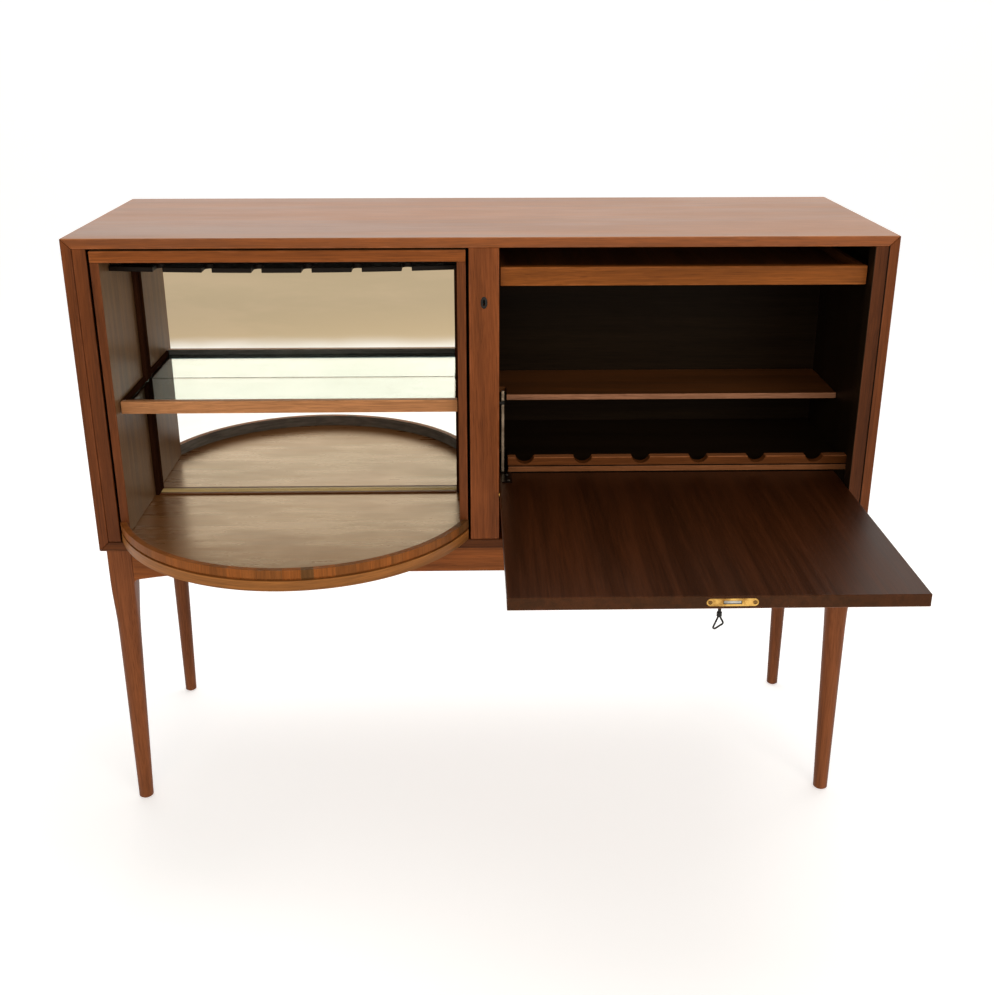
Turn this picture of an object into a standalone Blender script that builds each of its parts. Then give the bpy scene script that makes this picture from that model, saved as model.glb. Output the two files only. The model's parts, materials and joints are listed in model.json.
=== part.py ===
"""Walnut bar cabinet on a leg frame: a mirrored bar that revolves in the left bay, and a drop flap in the right.

Lengths are metres and +Z is up. The helpers take y measured from the front plane of the carcass, positive to
the back, and shift it so that the middle of the whole object's depth lies at y = 0.
"""

import math

import bmesh
import bpy
from mathutils import Matrix, Vector

# Carcass
width = 1.300
depth = 0.440
height = 1.027
leg_height = 0.503
board = 0.016
back_thickness = 0.006
back_inset = 0.002
gap = 0.0003
edge_ease = 0.0008
fine_ease = 0.0005
shelf_ease = 0.0012

# Leg frame
leg_side_inset = 0.009
leg_front_inset = 0.007
back_leg_side_inset = 0.012
leg_back_inset = 0.026
front_leg_top = (0.0405, 0.036)
front_leg_foot = (0.0255, 0.0250)
back_leg_top = (0.034, 0.033)
back_leg_foot = (0.0225, 0.0225)
leg_block_round = 0.0016
leg_round = 0.0150
leg_blend = 0.100
foot_ease = 0.0025
apron_inset = 0.0018
apron_thickness = 0.020
apron_height = 0.0465
apron_drop = 0.011
apron_ramp = 0.145
apron_fillet = 0.0065

# Revolving bar
pivot_ratio = 0.3665
bay_clear = 0.0015
swing_clear = 0.0014
base_overhang = 0.0009
bar_side_gap = 0.0047
bar_head_gap = 0.0033
washer_thickness = 0.0013
washer_radius = 0.030
pivot_radius = 0.009
pivot_reach = 0.008
base_thickness = 0.0138
base_edge = (0.004, 0.017)
lip_height = 0.018
lip_thickness = 0.0105
lip_groove = (0.003, 0.0042)
bar_side_thickness = 0.0138
bar_top_thickness = 0.018
mirror_thickness = 0.004
mirror_backing = 0.0148
corner_batten = (0.0068, 0.018)
bead_height = 0.0024
bead_depth = 0.017
glass_thickness = 0.006
glass_height = 0.2252
strip_height = 0.0209
strip_thickness = 0.012
strip_set_back = 0.0234
strip_drop = 0.0057
strip_end_gap = 0.0017
bearer_wall = 0.005
bearer_ledge = 0.0085
bearer_height = 0.020
rack_thickness = 0.0075
rack_drop = 0.0145
rack_front = 0.028
rack_bow = 1.740
rack_back_clear = 0.030
rack_slots = 6
rack_slot_pitch = 0.0787
rack_slot_width = 0.016
rack_slot_length = 0.034
hanger_width = 0.018

# Posts
post_set_back = 0.0015
post_depth = 0.030
partition_reveal = 0.0105

# Drop flap, in its open position
flap_thickness = 0.0194
flap_side_gap = 0.0014
flap_end_gap = 0.0017
flap_set_back = 0.0005
flap_pivot_height = 0.078
flap_pin_radius = 0.0037
flap_pin_reach = 0.012
stay_from_post = 0.0062
stay_width = 0.0042
stay_thickness = 0.004
stay_rise = 0.149
stay_foot = (0.017, 0.048)
stay_foot_thickness = 0.0015
peg_radius = 0.003
peg_below_top = 0.020

# Lock of the flap
plate_length = 0.072
plate_height = 0.0115
plate_thickness = 0.002
plate_offset = 0.0175
bolt_size = (0.025, 0.026, 0.0045)
bolt_throw = 0.009
bolt_play = 0.0005
key_from_plate = 0.0135
key_from_end = 0.018
key_shaft_radius = 0.0024
key_shaft_length = 0.020
key_collar_radius = 0.0037
key_collar_height = 0.006
key_wire = 0.0014
key_bow = ((0.0, -0.002, 0.0015), (-0.0053, -0.0178, 0.002), (0.003, -0.0105, 0.003))
key_plate_radius = 0.008
key_plate_thickness = 0.0012

# Lock of the bar, in the centre post
bar_lock_drop = 0.0865
bar_lock_depth = 0.0215
bar_bolt_size = (0.030, 0.0046, 0.012)
bar_bolt_engage = 0.0085
keyhole_plate = (0.0105, 0.0190, 0.0012)
keyhole_slot = 0.0032

# Fittings of the right bay
bay_depth = 0.351
bay_back_thickness = 0.006
shelf_height = 0.1875
shelf_thickness = 0.0105
shelf_set_back = 0.190
shelf_notch = 0.050
rack_floor_thickness = 0.010
rack_floor_clear = 0.002
stay_slot = 0.0275
riser_thickness = 0.012
riser_set_back = 0.008
rail_thickness = 0.016
rail_height = 0.0148
rail_set_back = 0.004
rail_notches = 6
rail_end_land = 0.13
rail_notch_width = 0.032
rail_notch_depth = 0.0118
tray_drop = 0.0345
tray_front_height = 0.0300
tray_front_thickness = 0.014
tray_front_clear = 0.003
tray_wall = 0.008
tray_floor = 0.004
tray_lip = 0.009
tray_rim_drop = 0.002
tray_depth = 0.300
tray_side_gap = 0.0025
runner_ledge = 0.010
runner_height = 0.008
runner_guide_gap = 0.001

ARC_STEPS = 56

# Derived levels and faces, all from the sizes above
top_under = height - board
floor_top = leg_height + board
side_inner = width / 2 - board
back_face = depth - back_inset - back_thickness
swing_radius = (back_face - gap - bay_clear) / (1 + pivot_ratio)
bar_y = pivot_ratio * swing_radius
bar_x = -side_inner + bay_clear + swing_radius
base_radius = swing_radius - swing_clear
bar_half = math.sqrt((base_radius - base_overhang) ** 2 - bar_y ** 2)
bar_back = 2 * bar_y
partition_left = bar_x + swing_radius + bay_clear
partition_right = partition_left + board
bay_left = bar_x - bar_half - bar_side_gap
bay_right = bar_x + bar_half + bar_side_gap
post_width = bay_left + side_inner
flap_bay_left = partition_right + partition_reveal
flap_bay_right = side_inner - post_width

flap_left = flap_bay_left + flap_side_gap
flap_right = flap_bay_right - flap_side_gap
flap_middle = (flap_left + flap_right) / 2
pivot_y = flap_set_back + flap_thickness / 2
pivot_z = floor_top + flap_pivot_height
flap_under = pivot_z - flap_thickness / 2
flap_face = pivot_z + flap_thickness / 2
flap_tip = pivot_y - (top_under - flap_end_gap - pivot_z)
flap_tail = pivot_y + (pivot_z - floor_top - flap_end_gap)
keyhole_depth = (flap_thickness - bolt_size[2]) / 2 - 2 * bolt_play
bar_bolt_line = bar_y - bar_lock_depth - bar_bolt_size[1] / 2
bar_bolt_tip = bar_x + math.sqrt(swing_radius ** 2 - bar_bolt_line ** 2)
bar_bolt_throw = bar_bolt_tip - bar_x - bar_half + bar_bolt_engage
rack_floor_front = pivot_y + math.hypot(flap_tail - pivot_y, flap_thickness / 2) + rack_floor_clear

middle_y = (flap_tip + depth) / 2


def srgb(red, green, blue):
    """Linear colour of an 8-bit display colour."""
    def linear(value):
        value = value / 255
        return value / 12.92 if value <= 0.04045 else ((value + 0.055) / 1.055) ** 2.4
    return (linear(red), linear(green), linear(blue), 1.0)


FINISHES = {
    "walnut": (srgb(142, 82, 42), 0.42, 0.0),
    "walnut_top": (srgb(158, 108, 72), 0.36, 0.0),
    "leg_walnut": (srgb(124, 74, 42), 0.45, 0.0),
    "dark_veneer": (srgb(46, 26, 16), 0.38, 0.0),
    "maple": (srgb(190, 158, 116), 0.45, 0.0),
    "mirror": (srgb(226, 228, 226), 0.02, 1.0),
    "glass": (srgb(206, 226, 214), 0.03, 0.0),
    "brass": (srgb(196, 158, 82), 0.28, 1.0),
    "steel": (srgb(150, 146, 138), 0.34, 1.0),
    "black_iron": (srgb(34, 30, 28), 0.42, 0.7),
}

# Where each body turns or slides, as (x, y from the front, z); every piece of a body has its origin there
ORIGINS = {
    "carcass": (0.0, 0.0, 0.0),
    "bar": (bar_x, bar_y, floor_top),
    "flap": (flap_middle, pivot_y, pivot_z),
    "tray": (flap_middle, flap_set_back + flap_thickness + tray_front_clear, top_under - tray_drop),
    "key": (flap_middle + plate_offset - key_from_plate, flap_tip + key_from_end, flap_under),
    "bolt": (flap_middle + plate_offset, flap_tip, pivot_z),
    "bar_bolt": (bar_bolt_tip, bar_lock_depth, top_under - bar_lock_drop),
}


def empty_scene():
    for item in list(bpy.data.objects):
        bpy.data.objects.remove(item, do_unlink=True)


def new_collection(name):
    made = bpy.data.collections.new(name)
    bpy.context.scene.collection.children.link(made)
    return made


def finish_material(name):
    found = bpy.data.materials.get(name)
    if found:
        return found
    colour, roughness, metallic = FINISHES[name]
    made = bpy.data.materials.new(name)
    made.use_nodes = True
    shader = made.node_tree.nodes["Principled BSDF"]
    shader.inputs["Base Color"].default_value = colour
    shader.inputs["Roughness"].default_value = roughness
    shader.inputs["Metallic"].default_value = metallic
    made.diffuse_color = colour
    return made


def add(name, form, body, finish):
    """A named piece from a bmesh in front-plane coordinates, with its origin on its body's axis."""
    bmesh.ops.recalc_face_normals(form, faces=form.faces[:])
    origin = Vector(ORIGINS[body])
    form.transform(Matrix.Translation(-origin))
    mesh = bpy.data.meshes.new(name)
    form.to_mesh(mesh)
    form.free()
    piece = bpy.data.objects.new(name, mesh)
    piece.location = origin - Vector((0, middle_y, 0))
    PARTS.objects.link(piece)
    piece.data.materials.append(finish_material(finish))
    return piece


def add_cutter(name, form):
    """A hidden solid that a Boolean takes away or joins on."""
    bmesh.ops.recalc_face_normals(form, faces=form.faces[:])
    mesh = bpy.data.meshes.new(name)
    form.to_mesh(mesh)
    form.free()
    cutter = bpy.data.objects.new(name, mesh)
    cutter.location = (0, -middle_y, 0)
    cutter.hide_render = True
    cutter.display_type = "WIRE"
    CUTTERS.objects.link(cutter)
    return cutter


def extruded(outline, axis, low, high):
    """A bmesh solid: a flat outline pushed from low to high along x, y or z."""
    place = {
        "x": lambda u, v, w: (w, u, v),
        "y": lambda u, v, w: (u, w, v),
        "z": lambda u, v, w: (u, v, w),
    }[axis]
    form = bmesh.new()
    corners = [form.verts.new(place(u, v, low)) for u, v in outline]
    face = form.faces.new(corners)
    grown = bmesh.ops.extrude_face_region(form, geom=[face])
    moved = [item for item in grown["geom"] if isinstance(item, bmesh.types.BMVert)]
    step = Vector(place(0, 0, high - low))
    bmesh.ops.translate(form, verts=moved, vec=step)
    return form


def block(x, y, z):
    """A bmesh box between pairs of limits."""
    outline = [(x[0], y[0]), (x[1], y[0]), (x[1], y[1]), (x[0], y[1])]
    return extruded(outline, "z", z[0], z[1])


def rod(centre, axis, low, high, radius, sides=28):
    """A bmesh cylinder along an axis; centre gives the other two coordinates."""
    outline = [
        (centre[0] + radius * math.cos(2 * math.pi * n / sides), centre[1] + radius * math.sin(2 * math.pi * n / sides))
        for n in range(sides)
    ]
    return extruded(outline, axis, low, high)


def arc(centre, radius, start, end, steps):
    """Points of an arc in degrees, both ends included."""
    turns = [math.radians(start + (end - start) * n / steps) for n in range(steps + 1)]
    return [(centre[0] + radius * math.cos(t), centre[1] + radius * math.sin(t)) for t in turns]


def ease(piece, size=None, segments=1):
    """Breaks the sharp edges of a piece."""
    bevel = piece.modifiers.new("eased_edges", "BEVEL")
    bevel.width = edge_ease if size is None else size
    bevel.segments = segments
    bevel.limit_method = "ANGLE"
    bevel.angle_limit = math.radians(40)
    return piece


def combine(piece, name, form, operation="DIFFERENCE"):
    """Cuts a form out of a piece, or joins it on."""
    cutter = add_cutter(name, form)
    boolean = piece.modifiers.new(name, "BOOLEAN")
    boolean.operation = operation
    boolean.solver = "EXACT"
    boolean.object = cutter
    return piece


def smooth(piece):
    for face in piece.data.polygons:
        face.use_smooth = True
    return piece


def panel(name, x, y, z, finish, body="carcass", eased=True):
    """A rectangular board with its edges broken."""
    piece = add(name, block(x, y, z), body, finish)
    if eased:
        ease(piece)
    return piece


def build_case():
    """Four boards mitred at the corners, a back let in between them, and the partition between the bays."""
    half = width / 2
    inner = half - board
    mitre = gap * 1.4
    top_outline = [
        (-half + mitre, height),
        (half - mitre, height),
        (inner - mitre, top_under),
        (-inner + mitre, top_under),
    ]
    top = ease(add("top_panel", extruded(top_outline, "y", 0, depth), "carcass", "walnut_top"))
    strike_x = ORIGINS["bolt"][0]
    strike_half = bolt_size[0] / 2 + bolt_play
    strike_depth = bolt_size[2] / 2 + bolt_play
    strike = block(
        (strike_x - strike_half, strike_x + strike_half),
        (pivot_y - strike_depth, pivot_y + strike_depth),
        (top_under - board, top_under + bolt_throw),
    )
    combine(top, "flap_strike", strike)
    combine(top, "top_pivot_hole", rod((bar_x, bar_y), "z", top_under - board, top_under + pivot_reach, pivot_radius))
    bottom_outline = [
        (-inner + mitre, floor_top),
        (inner - mitre, floor_top),
        (half - mitre, leg_height),
        (-half + mitre, leg_height),
    ]
    bottom = ease(add("bottom_panel", extruded(bottom_outline, "y", 0, depth), "carcass", "walnut"))
    hole = rod((bar_x, bar_y), "z", floor_top - pivot_reach, floor_top + board, pivot_radius)
    combine(bottom, "bottom_pivot_hole", hole)
    for name, side in (("left_side_panel", -1), ("right_side_panel", 1)):
        outline = [
            (side * half, leg_height),
            (side * half, height),
            (side * inner, top_under),
            (side * inner, floor_top),
        ]
        ease(add(name, extruded(outline, "y", 0, depth), "carcass", "walnut"))
    panel(
        "back_panel",
        (-inner + gap, inner - gap),
        (back_face, back_face + back_thickness),
        (floor_top + gap, top_under - gap),
        "dark_veneer",
        eased=False,
    )
    panel(
        "partition",
        (partition_left, partition_right),
        (post_set_back + post_depth + gap, back_face - gap),
        (floor_top + gap, top_under - gap),
        "dark_veneer",
        eased=False,
    )


def hollow(side):
    """The part of a post's section that the revolving bar sweeps, from the post's front edge to its back."""
    front_x = bar_half + bar_side_gap
    start = math.degrees(math.atan2(bar_y - math.sqrt(swing_radius ** 2 - front_x ** 2) - bar_y, front_x))
    end = math.degrees(math.asin((post_set_back + post_depth - bar_y) / swing_radius))
    points = arc((0, 0), swing_radius, start, end, 8)
    return [(bar_x + side * u, bar_y + v) for u, v in points]


def build_posts():
    """Posts beside the openings; those beside the bar are hollowed to the circle that it sweeps."""
    front = post_set_back
    back = post_set_back + post_depth
    floor = floor_top + gap
    ceiling = top_under - gap
    outer = side_inner - gap
    left_outline = [(-outer, back), (-outer, front), (bay_left, front)] + hollow(-1)
    ease(add("left_post", extruded(left_outline, "z", floor, ceiling), "carcass", "walnut"))

    centre_outline = [(flap_bay_left, back), (flap_bay_left, front), (bay_right, front)] + hollow(1)
    centre = ease(add("centre_post", extruded(centre_outline, "z", floor, ceiling), "carcass", "walnut"))
    pin_hole = flap_pin_radius + gap
    left_hole = rod(
        (pivot_y, pivot_z), "x", flap_bay_left - flap_pin_reach - gap, flap_bay_left + flap_pin_reach, pin_hole
    )
    combine(centre, "left_pin_hole", left_hole)
    lock_x, lock_y, lock_z = ORIGINS["bar_bolt"]
    bolt_y, bolt_z = (size / 2 + bolt_play for size in bar_bolt_size[1:])
    channel = block(
        (lock_x - board, lock_x + bar_bolt_size[0] + bolt_play),
        (lock_y - bolt_y, lock_y + bolt_y),
        (lock_z - bolt_z, lock_z + bolt_z),
    )
    combine(centre, "bar_bolt_channel", channel)
    middle = (bay_right + flap_bay_left) / 2
    recess = keyhole_outline(middle, lock_z, gap)
    combine(centre, "keyhole_recess", extruded(recess, "y", front - board, front + keyhole_plate[2] + gap))
    shaft = block(
        (middle - keyhole_slot / 2, middle + keyhole_slot / 2),
        (front - board, lock_y),
        (lock_z - keyhole_plate[1] / 4, lock_z + keyhole_plate[1] / 4),
    )
    combine(centre, "keyhole_shaft", shaft)
    plate = add(
        "bar_keyhole_plate",
        extruded(keyhole_outline(middle, lock_z, 0), "y", front, front + keyhole_plate[2]),
        "carcass",
        "black_iron",
    )
    slot = block(
        (middle - keyhole_slot / 2, middle + keyhole_slot / 2),
        (front - board, front + board),
        (lock_z - keyhole_plate[1] / 4, lock_z + keyhole_plate[1] / 4),
    )
    combine(plate, "keyhole_slot", slot)

    right = panel("right_post", (flap_bay_right, outer), (front, back), (floor, ceiling), "walnut")
    right_hole = rod(
        (pivot_y, pivot_z), "x", flap_bay_right - flap_pin_reach, flap_bay_right + flap_pin_reach + gap, pin_hole
    )
    combine(right, "right_pin_hole", right_hole)


def keyhole_outline(x, z, margin):
    """The oval of the keyhole plate, grown by a margin."""
    return [
        (
            x + (keyhole_plate[0] / 2 + margin) * math.cos(2 * math.pi * n / 32),
            z + (keyhole_plate[1] / 2 + margin) * math.sin(2 * math.pi * n / 32),
        )
        for n in range(32)
    ]


def rounded_section(low_x, high_x, low_y, high_y, radius, steps=4):
    """The four corners of a rectangle as arcs, anticlockwise from the high corner."""
    corners = [(high_x, high_y, 0), (low_x, high_y, 90), (low_x, low_y, 180), (high_x, low_y, 270)]
    points = []
    for x, y, start in corners:
        centre_x = x - radius if x == high_x else x + radius
        centre_y = y - radius if y == high_y else y + radius
        points += arc((centre_x, centre_y), radius, start, start + 90, steps)
    return points


def leg_sections(top, foot):
    """Heights, sizes, corner radii and inset of a leg's sections: square under the case, round towards the foot."""
    shoulder = leg_height - apron_height - apron_drop
    sections = [(0.0, foot, leg_round, foot_ease), (foot_ease, foot, leg_round, 0.0)]
    levels = [shoulder * n / 4 for n in (1, 2, 3)] + [shoulder - leg_blend * n / 5 for n in range(5)]
    for z in sorted(level for level in levels if level > 2 * foot_ease):
        part = z / shoulder
        size = tuple(low + (high - low) * part for low, high in zip(foot, top))
        blend = min(1.0, (shoulder - z) / leg_blend)
        turn = blend * blend * (3 - 2 * blend)
        sections.append((z, size, leg_block_round + (leg_round - leg_block_round) * turn, 0.0))
    sections.append((leg_height - gap, top, leg_block_round, 0.0))
    return sections


def leg_form(outer_x, outer_y, side, end, top, foot):
    """A leg lofted through its sections; its two outer faces are upright and its inner faces taper."""
    form = bmesh.new()
    rings = []
    for z, size, radius, inset in leg_sections(top, foot):
        x = sorted((outer_x - side * inset, outer_x - side * (size[0] - inset)))
        y = sorted((outer_y + end * inset, outer_y + end * (size[1] - inset)))
        corner = min(radius, 0.48 * min(size)) - inset * 0.5
        points = rounded_section(x[0], x[1], y[0], y[1], corner)
        rings.append([form.verts.new((u, v, z)) for u, v in points])
    form.faces.new(rings[0])
    form.faces.new(rings[-1])
    for low, high in zip(rings, rings[1:]):
        for n in range(len(low)):
            form.faces.new((low[n - 1], low[n], high[n], high[n - 1]))
    return form


def apron_outline(low, high):
    """A rail's face: straight top, and a lower edge that ramps down and curls into the leg at both ends."""
    top = leg_height - gap
    flat = leg_height - apron_height
    ramp = min(apron_ramp, (high - low) / 3)
    curl = arc((apron_fillet, -apron_fillet), apron_fillet, 180, 90, 4)
    steps = 8
    slope = [
        (
            apron_fillet + (ramp - apron_fillet) * n / steps,
            flat - apron_drop * (1 - n / steps) ** 2,
        )
        for n in range(1, steps + 1)
    ]
    start = [(u, flat - apron_drop + v) for u, v in curl] + slope
    left = [(low + u, v) for u, v in start]
    right = [(high - u, v) for u, v in reversed(start)]
    return [(low, top)] + left + right + [(high, top)]


def build_leg_frame():
    """Four tapered legs joined by aprons under the case."""
    front_half = width / 2 - leg_side_inset
    back_half = width / 2 - back_leg_side_inset
    far_face = depth - leg_back_inset
    for name, side in (("front_left_leg", -1), ("front_right_leg", 1)):
        leg = leg_form(side * front_half, leg_front_inset, side, 1, front_leg_top, front_leg_foot)
        smooth_sides(add(name, leg, "carcass", "leg_walnut"))
    for name, side in (("back_left_leg", -1), ("back_right_leg", 1)):
        leg = leg_form(side * back_half, far_face, side, -1, back_leg_top, back_leg_foot)
        smooth_sides(add(name, leg, "carcass", "leg_walnut"))
    front_span = front_half - front_leg_top[0] - gap
    back_span = back_half - back_leg_top[0] - gap
    front_y = leg_front_inset + apron_inset
    back_y = far_face - apron_inset
    front = extruded(apron_outline(-front_span, front_span), "y", front_y, front_y + apron_thickness)
    ease(add("front_apron", front, "carcass", "leg_walnut"))
    back = extruded(apron_outline(-back_span, back_span), "y", back_y - apron_thickness, back_y)
    ease(add("back_apron", back, "carcass", "leg_walnut"))
    near = leg_front_inset + front_leg_top[1] + gap
    far = far_face - back_leg_top[1] - gap
    for name, side in (("left_apron", -1), ("right_apron", 1)):
        outer = side * (min(front_half, back_half) - apron_inset)
        low, high = sorted((outer, outer - side * apron_thickness))
        ease(add(name, extruded(apron_outline(near, far), "x", low, high), "carcass", "leg_walnut"))


def build_pivots():
    """Steel pins that the bar turns on, and the washer that carries it."""
    bar_base = floor_top + gap + washer_thickness + gap
    pin = pivot_radius - gap
    lower = rod((bar_x, bar_y), "z", floor_top - pivot_reach + gap, bar_base + pivot_reach - gap, pin)
    smooth_sides(add("lower_pivot", lower, "carcass", "steel"))
    bar_head = top_under - bar_head_gap
    upper = rod((bar_x, bar_y), "z", bar_head - pivot_reach + gap, top_under + pivot_reach - gap, pin)
    smooth_sides(add("upper_pivot", upper, "carcass", "steel"))
    washer = add(
        "pivot_washer",
        rod((bar_x, bar_y), "z", floor_top + gap, floor_top + gap + washer_thickness, washer_radius, 48),
        "carcass",
        "brass",
    )
    combine(washer, "washer_bore", rod((bar_x, bar_y), "z", floor_top - board, floor_top + board, pivot_radius))


def smooth_sides(piece):
    """Shades the round side of an upright or level rod smooth and keeps its ends flat."""
    for face in piece.data.polygons:
        face.use_smooth = len(face.vertices) == 4
    return piece


def base_outline():
    """A box with a bowed front: the bow is an arc about the pivot, set in behind the rim that bands its edge."""
    radius = base_radius - base_edge[0] - gap
    half_angle = math.degrees(math.acos(bar_y / radius))
    bow = arc((bar_x, bar_y), radius, -90 - half_angle, -90 + half_angle, ARC_STEPS)
    back = bar_back - board - gap
    left = bar_x - bar_half
    right = bar_x + bar_half
    return [(right, back), (left, back), (left, 0)] + bow + [(right, 0)]


def lip_form(hem, low):
    """The coopered rim: an arc about the pivot that bands the base's edge and stands on it, grooved between."""
    form = bmesh.new()
    inner = base_radius - lip_thickness
    band = base_radius - base_edge[0]
    groove = base_radius - lip_groove[0]
    edge_top = hem + base_edge[1]
    foot = edge_top + lip_groove[1]
    high = edge_top + lip_height
    section = [(inner, low), (band, low), (band, hem), (base_radius, hem)]
    section += [(base_radius, edge_top), (groove, edge_top), (groove, foot), (base_radius, foot)]
    section += [(base_radius, high), (inner, high)]
    end = math.acos((bar_y + gap) / base_radius)
    stations = []
    for n in range(ARC_STEPS + 1):
        turn = -end + 2 * end * n / ARC_STEPS
        ring = []
        for radius, z in section:
            reach = min(abs(turn), math.acos((bar_y + gap) / radius))
            angle = math.copysign(reach, turn)
            x = bar_x + radius * math.sin(angle)
            ring.append(form.verts.new((x, bar_y - radius * math.cos(angle), z)))
        stations.append(ring)
    count = len(section)
    for low_ring, high_ring in zip(stations, stations[1:]):
        for n in range(count):
            form.faces.new((low_ring[n - 1], low_ring[n], high_ring[n], high_ring[n - 1]))
    form.faces.new(stations[0])
    form.faces.new(stations[-1])
    bmesh.ops.remove_doubles(form, verts=form.verts[:], dist=0.00002)
    return form


def build_bar():
    """A box with an open front that turns about an upright axis; its back closes the bay when it is turned in."""
    base_low = floor_top + gap + washer_thickness + gap
    base_high = base_low + base_thickness
    head_high = top_under - bar_head_gap
    head_low = head_high - bar_top_thickness
    left = bar_x - bar_half
    right = bar_x + bar_half
    behind = bar_back - board - gap
    base = ease(add("bar_base", extruded(base_outline(), "z", base_low, base_high), "bar", "maple"), fine_ease)
    hole = rod((bar_x, bar_y), "z", base_low - board, base_low + pivot_reach, pivot_radius)
    combine(base, "base_pivot_hole", hole)
    add("bar_lip", lip_form(base_low, base_high + gap), "bar", "walnut")
    top = panel("bar_top", (left, right), (0, behind), (head_low, head_high), "walnut", "bar")
    hole = rod((bar_x, bar_y), "z", head_high - pivot_reach, head_high + board, pivot_radius)
    combine(top, "head_pivot_hole", hole)
    side_z = (base_high + gap, head_low - gap)
    sides = {
        "bar_left_side": ((left, left + bar_side_thickness), left, bar_back - bar_lock_depth),
        "bar_right_side": ((right - bar_side_thickness, right), right, bar_lock_depth),
    }
    lock_z = ORIGINS["bar_bolt"][2]
    catch_y = bar_bolt_size[1] / 2 + 2 * bolt_play
    catch_z = bar_bolt_size[2] / 2 + 2 * bolt_play
    catch_depth = bar_bolt_engage + bolt_play
    for name, (span, face, catch) in sides.items():
        piece = panel(name, span, (0, behind), side_z, "walnut", "bar")
        mortise = block(
            (face - catch_depth, face + catch_depth),
            (catch - catch_y, catch + catch_y),
            (lock_z - catch_z, lock_z + catch_z),
        )
        combine(piece, name + "_catch", mortise)
    panel("bar_closed_front", (left, right), (bar_back - board, bar_back), (base_low, head_high), "walnut", "bar")
    inner = (left + bar_side_thickness, right - bar_side_thickness)
    build_mirror(inner[0], inner[1], behind, side_z)
    build_bar_shelf(inner[0], inner[1], behind)
    build_stem_rack(inner[0], inner[1], behind, head_low)


def mirror_face(behind):
    return behind - gap - mirror_backing - gap - mirror_thickness


def build_mirror(low_x, high_x, behind, span):
    """The mirror on its backing, held by a batten in each corner and a bead along the base."""
    face = mirror_face(behind)
    inner = (low_x + gap, high_x - gap)
    panel(
        "mirror_backing", inner, (face + mirror_thickness + gap, behind - gap), span, "maple", "bar", eased=False
    )
    panel("mirror", inner, (face, face + mirror_thickness), span, "mirror", "bar", eased=False)
    batten_x, batten_y = corner_batten
    batten_span = (face - batten_y, face - gap)
    panel("left_mirror_batten", (low_x + gap, low_x + batten_x), batten_span, span, "dark_veneer", "bar")
    panel("right_mirror_batten", (high_x - batten_x, high_x - gap), batten_span, span, "dark_veneer", "bar")
    bead_x = (low_x + batten_x + gap, high_x - batten_x - gap)
    bead_z = (span[0], span[0] + bead_height)
    panel("mirror_bead", bead_x, (face - bead_depth, face - gap), bead_z, "maple", "bar")


def build_bar_shelf(low_x, high_x, behind):
    """A glass shelf on an L-shaped bearer at each side, with a wooden strip across its front."""
    face = mirror_face(behind)
    glass_low = floor_top + glass_height
    glass_high = glass_low + glass_thickness
    back = face - gap * 2
    batten_x, batten_y = corner_batten
    notch_y = face - batten_y - gap * 3
    ledge_low = glass_low - gap - strip_drop
    front = strip_set_back + strip_thickness + gap
    for name, wall, side in (("left_bearer", low_x, 1), ("right_bearer", high_x, -1)):
        near = wall + side * gap
        section = [
            (near, ledge_low),
            (wall + side * bearer_ledge, ledge_low),
            (wall + side * bearer_ledge, glass_low - gap),
            (wall + side * bearer_wall, glass_low - gap),
            (wall + side * bearer_wall, ledge_low + bearer_height),
            (near, ledge_low + bearer_height),
        ]
        ease(add(name, extruded(section, "y", front, notch_y), "bar", "dark_veneer"), fine_ease)
    glass_x = (low_x + bearer_wall + 2 * gap, high_x - bearer_wall - 2 * gap)
    notch_x = (low_x + batten_x + 2 * gap, high_x - batten_x - 2 * gap)
    outline = [
        (glass_x[0], front),
        (glass_x[1], front),
        (glass_x[1], notch_y),
        (notch_x[1], notch_y),
        (notch_x[1], back),
        (notch_x[0], back),
        (notch_x[0], notch_y),
        (glass_x[0], notch_y),
    ]
    ease(add("glass_shelf", extruded(outline, "z", glass_low, glass_high), "bar", "glass"), fine_ease)
    strip_x = (low_x + strip_end_gap, high_x - strip_end_gap)
    strip_y = (strip_set_back, strip_set_back + strip_thickness)
    panel("shelf_strip", strip_x, strip_y, (ledge_low, ledge_low + strip_height), "walnut", "bar")


def build_stem_rack(low_x, high_x, behind, head_low):
    """A board with a bowed front and slots that wine glasses hang in by the foot, held off the bar's top."""
    back = mirror_face(behind) - rack_back_clear
    rack_high = head_low - rack_drop
    rack_low = rack_high - rack_thickness
    left = low_x + gap
    right = high_x - gap

    def bow(x):
        return rack_front + (x - bar_x) ** 2 / (2 * rack_bow)

    pitch = min(rack_slot_pitch, (right - left - 2 * hanger_width) / rack_slots)
    slot_half = rack_slot_width / 2
    outline = [(right, back), (left, back), (left, bow(left))]
    for n in range(rack_slots):
        middle = bar_x + (n - (rack_slots - 1) / 2) * pitch
        start = outline[-1][0]
        edge = middle - slot_half
        outline += [(start + (edge - start) * k / 3, bow(start + (edge - start) * k / 3)) for k in (1, 2, 3)]
        slot_end = bow(middle) + rack_slot_length - slot_half
        outline += arc((middle, slot_end), slot_half, 180, 0, 8)
        outline.append((middle + slot_half, bow(middle + slot_half)))
    outline.append((right, bow(right)))
    ease(add("stem_rack", extruded(outline, "z", rack_low, rack_high), "bar", "dark_veneer"), fine_ease)
    hanger_y = (bow(left) + hanger_width / 2, back)
    hanger_z = (rack_high + gap, head_low - gap)
    panel("left_rack_hanger", (left, left + hanger_width), hanger_y, hanger_z, "dark_veneer", "bar", eased=False)
    panel("right_rack_hanger", (right - hanger_width, right), hanger_y, hanger_z, "dark_veneer", "bar", eased=False)


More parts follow.
